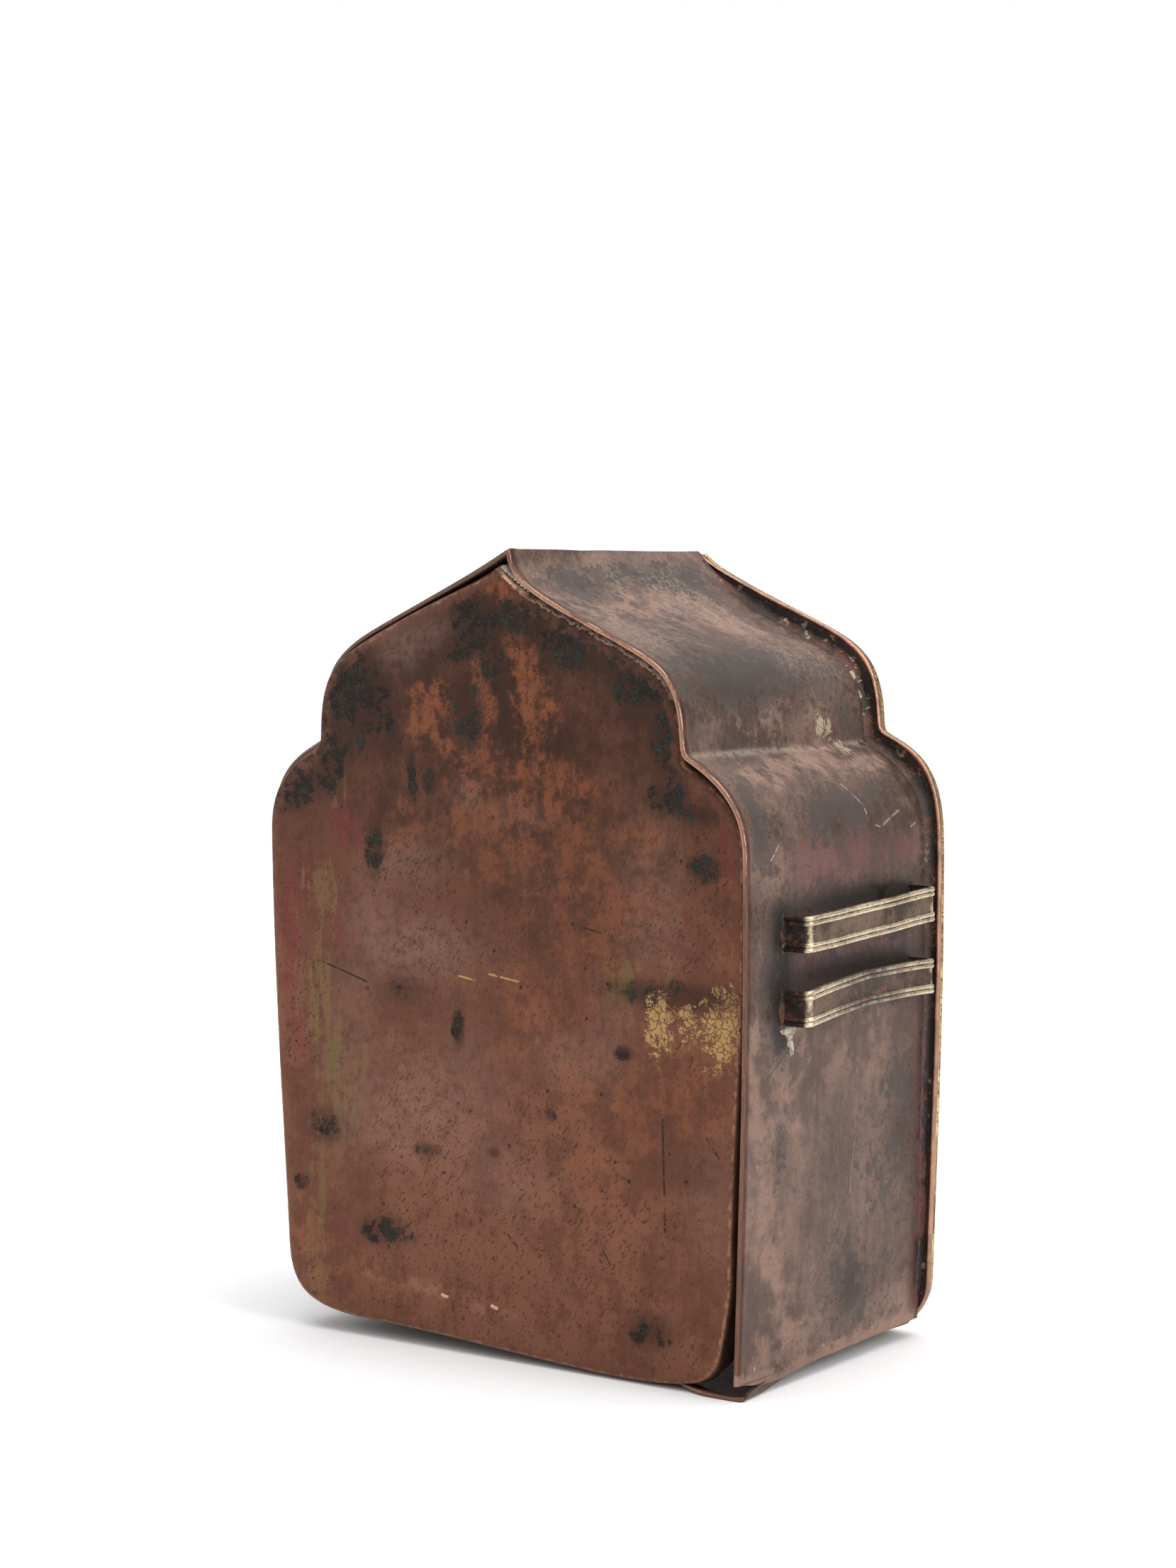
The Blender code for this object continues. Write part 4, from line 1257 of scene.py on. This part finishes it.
colour = layered(
    mixed(between(tone, -0.5, 0.6), DEEP_BROWN, RED_BROWN),
    (between(tone, 0.45, 0.9), WARM_BROWN),
    (painted_sheen, MAUVE),
    (bare, RUBBED_ORANGE),
    (0.34 * stained(painted("crimson"), 1.3, 0.3, marks.streak), CRIMSON),
    (0.5 * stained(painted("olive"), 1.4, 0.25, marks.streak), OLIVE),
    (marks.flecks * between(marks.broad, 0.1, 0.8, 0.3, 0.65), DEEP_BROWN),
    (0.7 * halo, DEEP_BROWN),
    (crust * between(marks.fine, 0.0, 0.6, 0.6, 0.9), patina),
    (leaf, OLD_GOLD),
    (0.8 * marks.pits, PATINA_BLACK),
    (drawn_lines["gold"], OLD_GOLD),
    (0.8 * drawn_lines["dark"], PATINA_BLACK),
    (0.3 * worn_edge("edge", 3.4, 0.7), WARM_BROWN),
    (0.22 * bright, BRIGHT_COPPER),
    (drawn_lines["crease"] * between(marks.patchy, 0.3, 0.9, 0.0, 0.4), MAUVE),
    # painted highlights on the two dents near the bottom edge
    (0.75 * drawn_lines["bright"], BRIGHT_COPPER),
    # the painted highlight on the -X slope edge
    (0.75 * slope, GLINT),
    (0.95 * painted("inside"), mixed(marks.fine, DEEP_BROWN, RED_BROWN)),
)
roughness = between(marks.fine, 0.0, 1.0, 0.36, 0.48) + 0.22 * crust + 0.05 * marks.grain
metallic = between(crust, 0.0, 1.0, 0.88, 0.75)
height = 0.12 * marks.fine + 0.25 * marks.patchy - 0.5 * marks.pits
height = height + crust * (0.15 + 0.2 * marks.grain) - 0.4 * drawn_lines["dark"] + 0.3 * leaf
finish_metal(material, [cover], 0.12, colour, roughness, metallic, height)

# %% [markdown]
# ## Dark copper, for the case band
# The sides are darker and duller: brown-purple copper with charcoal smears, paler where cloth
# rubbed it near the edges, sooty and crimson round the loops, with painted shade under and behind
# the ribbons. The rolled rear edge is worn, with a painted highlight on its -X lobe and shoulder,
# and dirt has caked in the corner where the band meets the frame.

# %% Places of the stains on the band
SIDE_SPOTS = {
    "pink": (
        (23.9, 92.7, 4.7, 3.8, 0.9), (22.5, 57.5, 8.0, 9.5, 0.85), (25.5, 40.0, 4.0, 8.0, 0.4),
        (-11.0, 8.4, 18.3, 4.5, 0.6),
        (-9.2, 60.1, 6.6, 5.0, 0.5), (-19.6, 26.1, 6.8, 8.3, 0.4), (25.0, 19.0, 5.0, 13.0, 0.35),
        (-25.5, 20.0, 2.5, 20.0, 0.3), (12.0, 12.0, 6.0, 6.0, 0.4), (-4.0, 113.0, 9.0, 2.0, 0.7),
        (-18.0, 112.0, 5.0, 2.0, 0.5), (18.0, 111.5, 5.0, 2.0, 0.7), (2.0, 122.0, 3.5, 4.0, 0.75),
        (-13.0, 122.0, 3.0, 5.0, 0.7), (12.0, 119.5, 4.0, 2.0, 0.6), (-20.0, 128.0, 4.0, 4.0, 0.5),
        (24.0, 143.0, 4.0, 3.0, 0.6), (8.0, 141.5, 8.0, 2.6, 0.6), (-12.0, 139.0, 6.0, 3.0, 0.4),
    ),
    # the spots round the loops, from 64 to 88 mm up, are partly soot and partly painted shade under and
    # behind the ribbons
    "charcoal_and_shade": (
        (26.6, 102.3, 2.9, 8.6, 0.9), (4.0, 103.5, 7.0, 4.4, 0.7), (-22.0, 40.0, 6.0, 16.0, 0.65),
        (20.5, 43.0, 2.2, 5.0, 0.75), (-2.4, 26.0, 13.0, 20.0, 0.35), (-5.2, 87.4, 25.0, 3.4, 0.9),
        (-5.5, 75.0, 26.0, 3.0, 0.9), (-5.3, 15.0, 6.5, 6.5, 0.7), (22.0, 76.0, 3.0, 9.0, 0.85),
        (2.0, 128.2, 24.0, 4.2, 0.95), (18.0, 146.0, 7.0, 2.4, 0.85), (-4.0, 147.5, 9.0, 2.0, 0.9),
        (-18.0, 146.0, 6.0, 3.0, 0.6), (14.0, 131.0, 8.0, 4.0, 0.7), (-22.0, 119.0, 4.0, 4.0, 0.55),
        (16.0, 115.6, 3.0, 3.0, 0.6), (0.0, 117.0, 3.0, 2.0, 0.5), (-12.0, 105.0, 5.0, 3.0, 0.5),
        (22.0, 64.0, 3.0, 2.2, 0.7), (21.6, 80.5, 2.0, 5.5, 0.95), (21.0, 67.5, 2.2, 5.0, 0.95),
        (25.6, 72.0, 1.6, 7.0, 0.6), (-19.0, 84.0, 6.0, 3.4, 0.9), (-19.0, 71.0, 6.0, 3.2, 0.9),
    ),
    "crimson": (
        (1.6, 92.9, 14.8, 5.0, 0.7), (0.7, 77.3, 17.7, 4.7, 0.8), (-27.5, 50.0, 2.5, 12.0, 0.75),
        (-27.8, 20.0, 1.6, 16.0, 0.6), (-12.0, 97.0, 8.0, 4.0, 0.5), (10.0, 98.0, 3.0, 4.0, 0.4),
    ),
    "cream": (
        (-12.5, 118.4, 0.8, 1.8, 0.95), (-15.6, 118.0, 0.9, 1.6, 0.75),
        (-18.7, 114.5, 1.2, 1.0, 0.6), (18.6, 65.5, 1.6, 0.5, 0.8), (18.0, 63.4, 0.5, 1.6, 0.7),
    ),
}
band_places = paint(band, 1, SIDE_SPOTS)
store(band.data, "corner", band_places[:, 1] - (BACK - CASE_FRONT))

# %% Colours of the band
PLUM = (0.222, 0.139, 0.107)
DEEP_PLUM = (0.108, 0.069, 0.054)
PALE_PINK = (0.38, 0.235, 0.175)
CHARCOAL = (0.042, 0.035, 0.031)
CRIMSON_TINT = (0.16, 0.055, 0.062)
CREAM_DIRT = (0.50, 0.41, 0.29)
NOTCH_DIRT = (0.42, 0.33, 0.25)
CRUST_BLACK = (0.014, 0.010, 0.008)
NOTCH_LINE = 115.0
SIDE_SCRATCHES = (
    ((-14.3, 100.5), (-21.2, 103.1), 0.24, "light"),
    ((-5.0, 108.5), (-8.6, 104.4), 0.14, "light"),
    ((-8.6, 104.4), (-9.2, 101.6), 0.22, "light"),
    ((-9.6, 101.0), (-13.0, 100.2), 0.2, "light"),
    ((22.0, 99.0), (24.6, 96.5), 0.2, "light"),
    ((-24.0, 99.5), (-28.0, 101.0), 0.2, "light"),
    ((-5.1, 44.4), (-3.4, 32.4), 0.1, "light"),
    ((26.9, 5.4), (27.1, 5.2), 0.3, "light"),
    ((4.1, 5.2), (4.3, 5.0), 0.3, "light"),
    ((8.5, 15.5), (-4.8, 11.5), 0.15, "dark"),
    ((24.6, 18.2), (21.8, 17.5), 0.16, "dark"),
    ((25.5, 57.5), (16.0, 63.5), 0.2, "dark"),
    ((2.0, 47.0), (0.0, 41.0), 0.16, "dark"),
)

# %% Dark copper
material, place, marks = start_metal("dark copper with soot")
across, up = axis(place, 0), axis(place, 2)
tone = 0.42 * marks.patchy + 0.12 * marks.streak + 0.18 * marks.fine + 0.36 * marks.broad
tone = tone - between(up, 34.0, 6.0, 0.0, 0.12)
sooty_and_shaded = painted("charcoal_and_shade")
# soot together with painted shade under and behind the loops
soot_and_shade = stained(sooty_and_shaded, 1.0, between(up, 88.0, 102.0, 0.4, 0.15))
# near-black painted shade with soot, strongest round the loops below 88 mm
shade_and_soot_black = between(sooty_and_shaded, 0.6, 1.0, 0.0, 0.85) * between(marks.fine, -0.4, 0.4)
shade_and_soot_black = shade_and_soot_black * between(up, 98.0, 88.0, 0.3, 1.0)
drawn_lines = drawn_marks(SIDE_SCRATCHES, 0)
near_half = between(across, 0.0, -10.0)
far_half = between(across, -8.0, -4.0)
notch = between(maths("ABSOLUTE", up - NOTCH_LINE), 0.1, 1.0, 1.0, 0.0) * between(marks.fine, 0.0, 0.7)
roof = between(up, 122.0, 136.0)
lines = marks.cracks * between(marks.broad, 0.45, 0.8) * roof
cream = stained(painted("cream"), 0.9, 0.15, marks.fine, marks.grain)
rim_brown = mixed(far_half, mixed(marks.patchy, DEEP_BROWN, RED_BROWN), DEEP_BROWN)
# painted highlight on the worn rear rim, at the lobe and shoulder of the -X half; the rim is darker on the
# +X half
bright = worn_edge("rear", 0.3, 1.3, marks.patchy)
rim_highlight_places = between(up, 88.0, 100.0, 0.25, 1.0) * (1.0 - 0.8 * far_half)
colour = layered(
    mixed(between(tone, 0.2, 0.8), DEEP_PLUM, PLUM),
    (between(tone, 0.7, 1.05, 0.0, 0.6), MAUVE),
    (stained(painted("pink"), 1.0, 0.4) * between(up, 84.0, 100.0, 0.34, 0.5), PALE_PINK),
    (0.6 * stained(painted("crimson"), 0.9, 0.5), CRIMSON_TINT),
    (0.78 * soot_and_shade, CHARCOAL),
    (shade_and_soot_black, CRUST_BLACK),
    (marks.flecks * between(sooty_and_shaded, 0.0, 0.8, 0.3, 0.7), CHARCOAL),
    (0.6 * marks.pits, CHARCOAL),
    (0.33 * drawn_lines["light"] * near_half, WORN_WHITE),
    (0.7 * drawn_lines["dark"] * near_half, CHARCOAL),
    (0.45 * notch, NOTCH_DIRT),
    (maths("MAXIMUM", 0.85 * cream, 0.27 * lines), CREAM_DIRT),
    (0.5 * worn_edge("corner", 3.6, 0.9), DEEP_PLUM),
    (0.85 * between(painted("rear"), 0.9, 1.8, 1.0, 0.0), rim_brown),
    (0.5 * worn_edge("low", 2.6, 0.7), PALE_PINK),
    (0.45 * bright * rim_highlight_places, BRIGHT_COPPER),
    (0.92 * painted("inside"), mixed(marks.fine, CRUST_BLACK, DEEP_BROWN)),
)
roughness = between(marks.fine, 0.0, 1.0, 0.42, 0.56) + 0.12 * soot_and_shade - 0.18 * bright
metallic = between(soot_and_shade, 0.0, 1.0, 0.8, 0.45)
height = 0.2 * marks.fine + 0.3 * marks.patchy - 0.4 * marks.pits
height = height - 0.25 * marks.cracks * roof + 0.2 * soot_and_shade
finish_metal(material, [band], 0.12, colour, roughness, metallic, height)

# %% [markdown]
# ## Worn copper, gilding and pale brass
# The frame's edge is rubbed to pale copper, and black dirt lies against the case. The gilt
# face is bright on its raised work and brown in its hollows. The loops' brass is worn pale on
# the ribs and corners, and nearly black in the grooves, so their masks come from the ribs.

# %% Worn copper
material, place, marks = start_metal("worn copper edge")
bright = worn_edge("edge", 0.6, 0.7)
against_case = between(painted("edge"), 0.6, 1.3)
colour = layered(
    mixed(between(0.6 * marks.patchy + 0.4 * marks.fine, 0.2, 0.8), DEEP_BROWN, RED_BROWN),
    (0.55 * bright, mixed(marks.patchy, PALE_PINK, BRIGHT_COPPER)),
    (0.9 * against_case, PATINA_BLACK),
    (0.5 * against_case * between(marks.fine, 0.85, 1.0), CREAM_DIRT),
    (0.7 * marks.pits, PATINA_BLACK),
)
roughness = between(bright, 0.0, 1.0, 0.6, 0.32)
metallic = between(against_case, 0.0, 1.0, 0.95, 0.3)
height = 0.4 * marks.fine + 0.1 * marks.grain
finish_metal(material, [front_frame], 0.15, colour, roughness, metallic, height)

# %% Gilt sheet
GILT = (0.86, 0.60, 0.24)
GILT_DEEP = (0.42, 0.24, 0.07)
HOLLOW_DIRT = (0.10, 0.05, 0.025)
PUNCH_DIRT = (0.08, 0.04, 0.02)
PUNCH_GAP = 0.85

material, place, marks = start_metal("gilt sheet")
dirty = painted("hollow") * between(marks.patchy, -0.3, 1.1)
punches = node("TexVoronoi", {"Vector": place, "Scale": 1 / PUNCH_GAP}, "Distance", feature="F1")
dimple = between(punches, 0.1, 0.55, 1.0, 0.0) * between(painted("hollow"), 0.3, 0.55)
colour = layered(
    mixed(between(marks.fine, 0.0, 1.0, 0.0, 0.5), GILT, GILT_DEEP),
    (0.75 * dirty, HOLLOW_DIRT),
    (0.4 * dimple, PUNCH_DIRT),
    (0.6 * between(marks.patchy, 0.72, 0.85), RED_BROWN),
)
roughness = between(marks.fine, 0.0, 1.0, 0.24, 0.4)
metallic = between(dirty, 0.0, 1.0, 1.0, 0.8)
height = 0.1 * marks.fine - 0.8 * dimple
finish_metal(material, [face, beads], 0.12, colour, roughness, metallic, height)

# %% Pale brass
CREAM_BRASS = (0.74, 0.62, 0.44)
DULL_BRASS = (0.46, 0.36, 0.24)
GROOVE_BROWN = (0.14, 0.088, 0.058)
BROWN_DIRT = (0.040, 0.022, 0.013)
FOOT_BLACK = (0.010, 0.005, 0.004)
RED_DIRT = (0.11, 0.035, 0.022)

material, place, marks = start_metal("pale brass ribbon")
high = painted("rib") + 0.5 * (marks.fine - 0.5) + 0.55 * painted("corner")
foot = between(painted("foot") + 0.3 * (marks.fine - 0.6), 0.1, 0.7)
colour = layered(
    mixed(between(marks.patchy, 0.1, 0.9), BROWN_DIRT, GROOVE_BROWN),
    (between(high, 0.25, 0.8), mixed(marks.patchy, DULL_BRASS, CREAM_BRASS)),
    (0.97 * foot, mixed(between(marks.fine, 0.7, 0.9), FOOT_BLACK, RED_DIRT)),
    (0.5 * marks.flecks, BROWN_DIRT),
)
roughness = between(high, 0.2, 0.8, 0.62, 0.34)
metallic = between(high, 0.2, 0.8, 0.4, 0.92) * between(foot, 0.2, 0.9, 1.0, 0.3)
height = 0.4 * marks.fine + 0.15 * marks.grain
finish_metal(material, loops, 0.1, colour, roughness, metallic, height)

# %% Crust, solder and filler
FILLER_DARK = (0.30, 0.25, 0.19)
FILLER_PALE = (0.62, 0.55, 0.45)

material, place, marks = start_metal("seam crust and solder")
up = axis(place, 2)
reach = painted("share") - between(up, 50.0, 66.0, 0.0, 0.3) + 0.3 * marks.fine
hidden = between(reach, 0.1, 0.45, 1.0, 0.0) * between(up, 66.0, 50.0, 0.3, 0.85)
tinted = mixed(between(up, 66.0, 50.0), mixed(marks.patchy, DEEP_PLUM, PLUM), CRIMSON_TINT)
crumbs = between(marks.fine, 0.74, 0.9) * between(marks.broad, 0.25, 0.6)
crumbs = crumbs * between(up, 98.0, 106.0, 0.25, 1.0)
colour = layered(
    mixed(between(marks.patchy, 0.4, 0.9), CRUST_BLACK, RED_DIRT),
    (hidden, tinted),
    (0.85 * crumbs, CREAM_DIRT),
)
roughness = between(marks.fine, 0.0, 1.0, 0.75, 0.5)
height = 0.6 * marks.fine + 0.3 * marks.grain
finish_metal(material, [seam, solder], 0.25, colour, roughness, 0.3 * marks.patchy, height)

material, place, marks = start_metal("pale filler")
colour = layered(mixed(marks.fine, FILLER_DARK, FILLER_PALE), (0.7 * marks.flecks, DEEP_BROWN))
roughness = between(marks.fine, 0.0, 1.0, 0.7, 0.5)
finish_metal(material, [filler], 0.2, colour, roughness, 0.2 * marks.patchy, marks.fine)

# %% The replaced solids are hidden, and every piece takes its place
for obj, slot, solid in (
    (band, "dark_copper", "case_band"),
    (cover, "red_copper", "back_cover"),
    (front_frame, "worn_copper", "front_frame"),
    (face, "gilt_sheet", "front_face"),
):
    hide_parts(solid)
for obj in shown:
    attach(obj, "root")
print(len(shown), "pieces ride on the root")

# %% [markdown]
# ## Floor and light
# A product photograph stands on white paper in a white room. A white room lights worn metal
# from everywhere and makes it flat, so only the camera sees it white. The metal sees a darker
# room with a large soft box above, a window at the left and a smaller one behind the camera.

# %% Floor
FLOOR_RADIUS = 1.7
FLOOR_SIDES = 72

mesh = bpy.data.meshes.new("floor")
turns = [2 * math.pi * step / FLOOR_SIDES for step in range(FLOOR_SIDES)]
rim = [(FLOOR_RADIUS * math.cos(turn), FLOOR_RADIUS * math.sin(turn), 0.0) for turn in turns]
mesh.from_pydata(rim, [], [list(range(FLOOR_SIDES))])
floor = bpy.data.objects.new("floor", mesh)
bpy.context.scene.collection.objects.link(floor)
paper = bpy.data.materials.new("white paper")
paper.use_nodes = True
work_on(paper.node_tree)
fibres = node("TexNoise", {"Scale": 900.0, "Detail": 2.0})
shader = tree.nodes["Principled BSDF"]
put(shader.inputs["Base Color"], mixed(fibres, (0.88, 0.88, 0.88), (0.92, 0.92, 0.92)))
put(shader.inputs["Roughness"], 0.9)
mesh.materials.append(paper)
print("the floor is", 2 * FLOOR_RADIUS, "m wide")


# %% Light
def panel(name, place, aim, size, power):
    light = bpy.data.lights.new(name, "AREA")
    light.shape = "RECTANGLE"
    light.size, light.size_y = size
    light.energy = power
    obj = bpy.data.objects.new(name, light)
    obj.location = place
    obj.rotation_euler = (Vector(aim) - Vector(place)).to_track_quat("-Z", "Y").to_euler()
    bpy.context.scene.collection.objects.link(obj)


world = bpy.data.worlds.new("studio")
bpy.context.scene.world = world
world.use_nodes = True
work_on(world.node_tree)
seen = node("LightPath", output="Is Camera Ray")
upward = axis(node("TexCoord", output="Generated"), 2)
room = mixed(between(upward, -0.1, 0.9), (0.30, 0.30, 0.31), (0.75, 0.75, 0.76))
put(tree.nodes["Background"].inputs["Color"], mixed(seen, room, (1.0, 1.0, 1.0)))
panel("ceiling", (-0.3, -0.4, 3.0), (0, 0, 0), (4.0, 4.0), 95)
panel("left window", (1.0, 0.75, 0.5), (0, 0, 0.06), (0.7, 0.9), 4)
panel("right window", (-1.3, 0.1, 0.6), (0, 0, 0.07), (0.7, 0.9), 11)
bpy.context.scene.view_settings.view_transform = "Standard"
print("lights:", [light.name for light in bpy.data.lights])
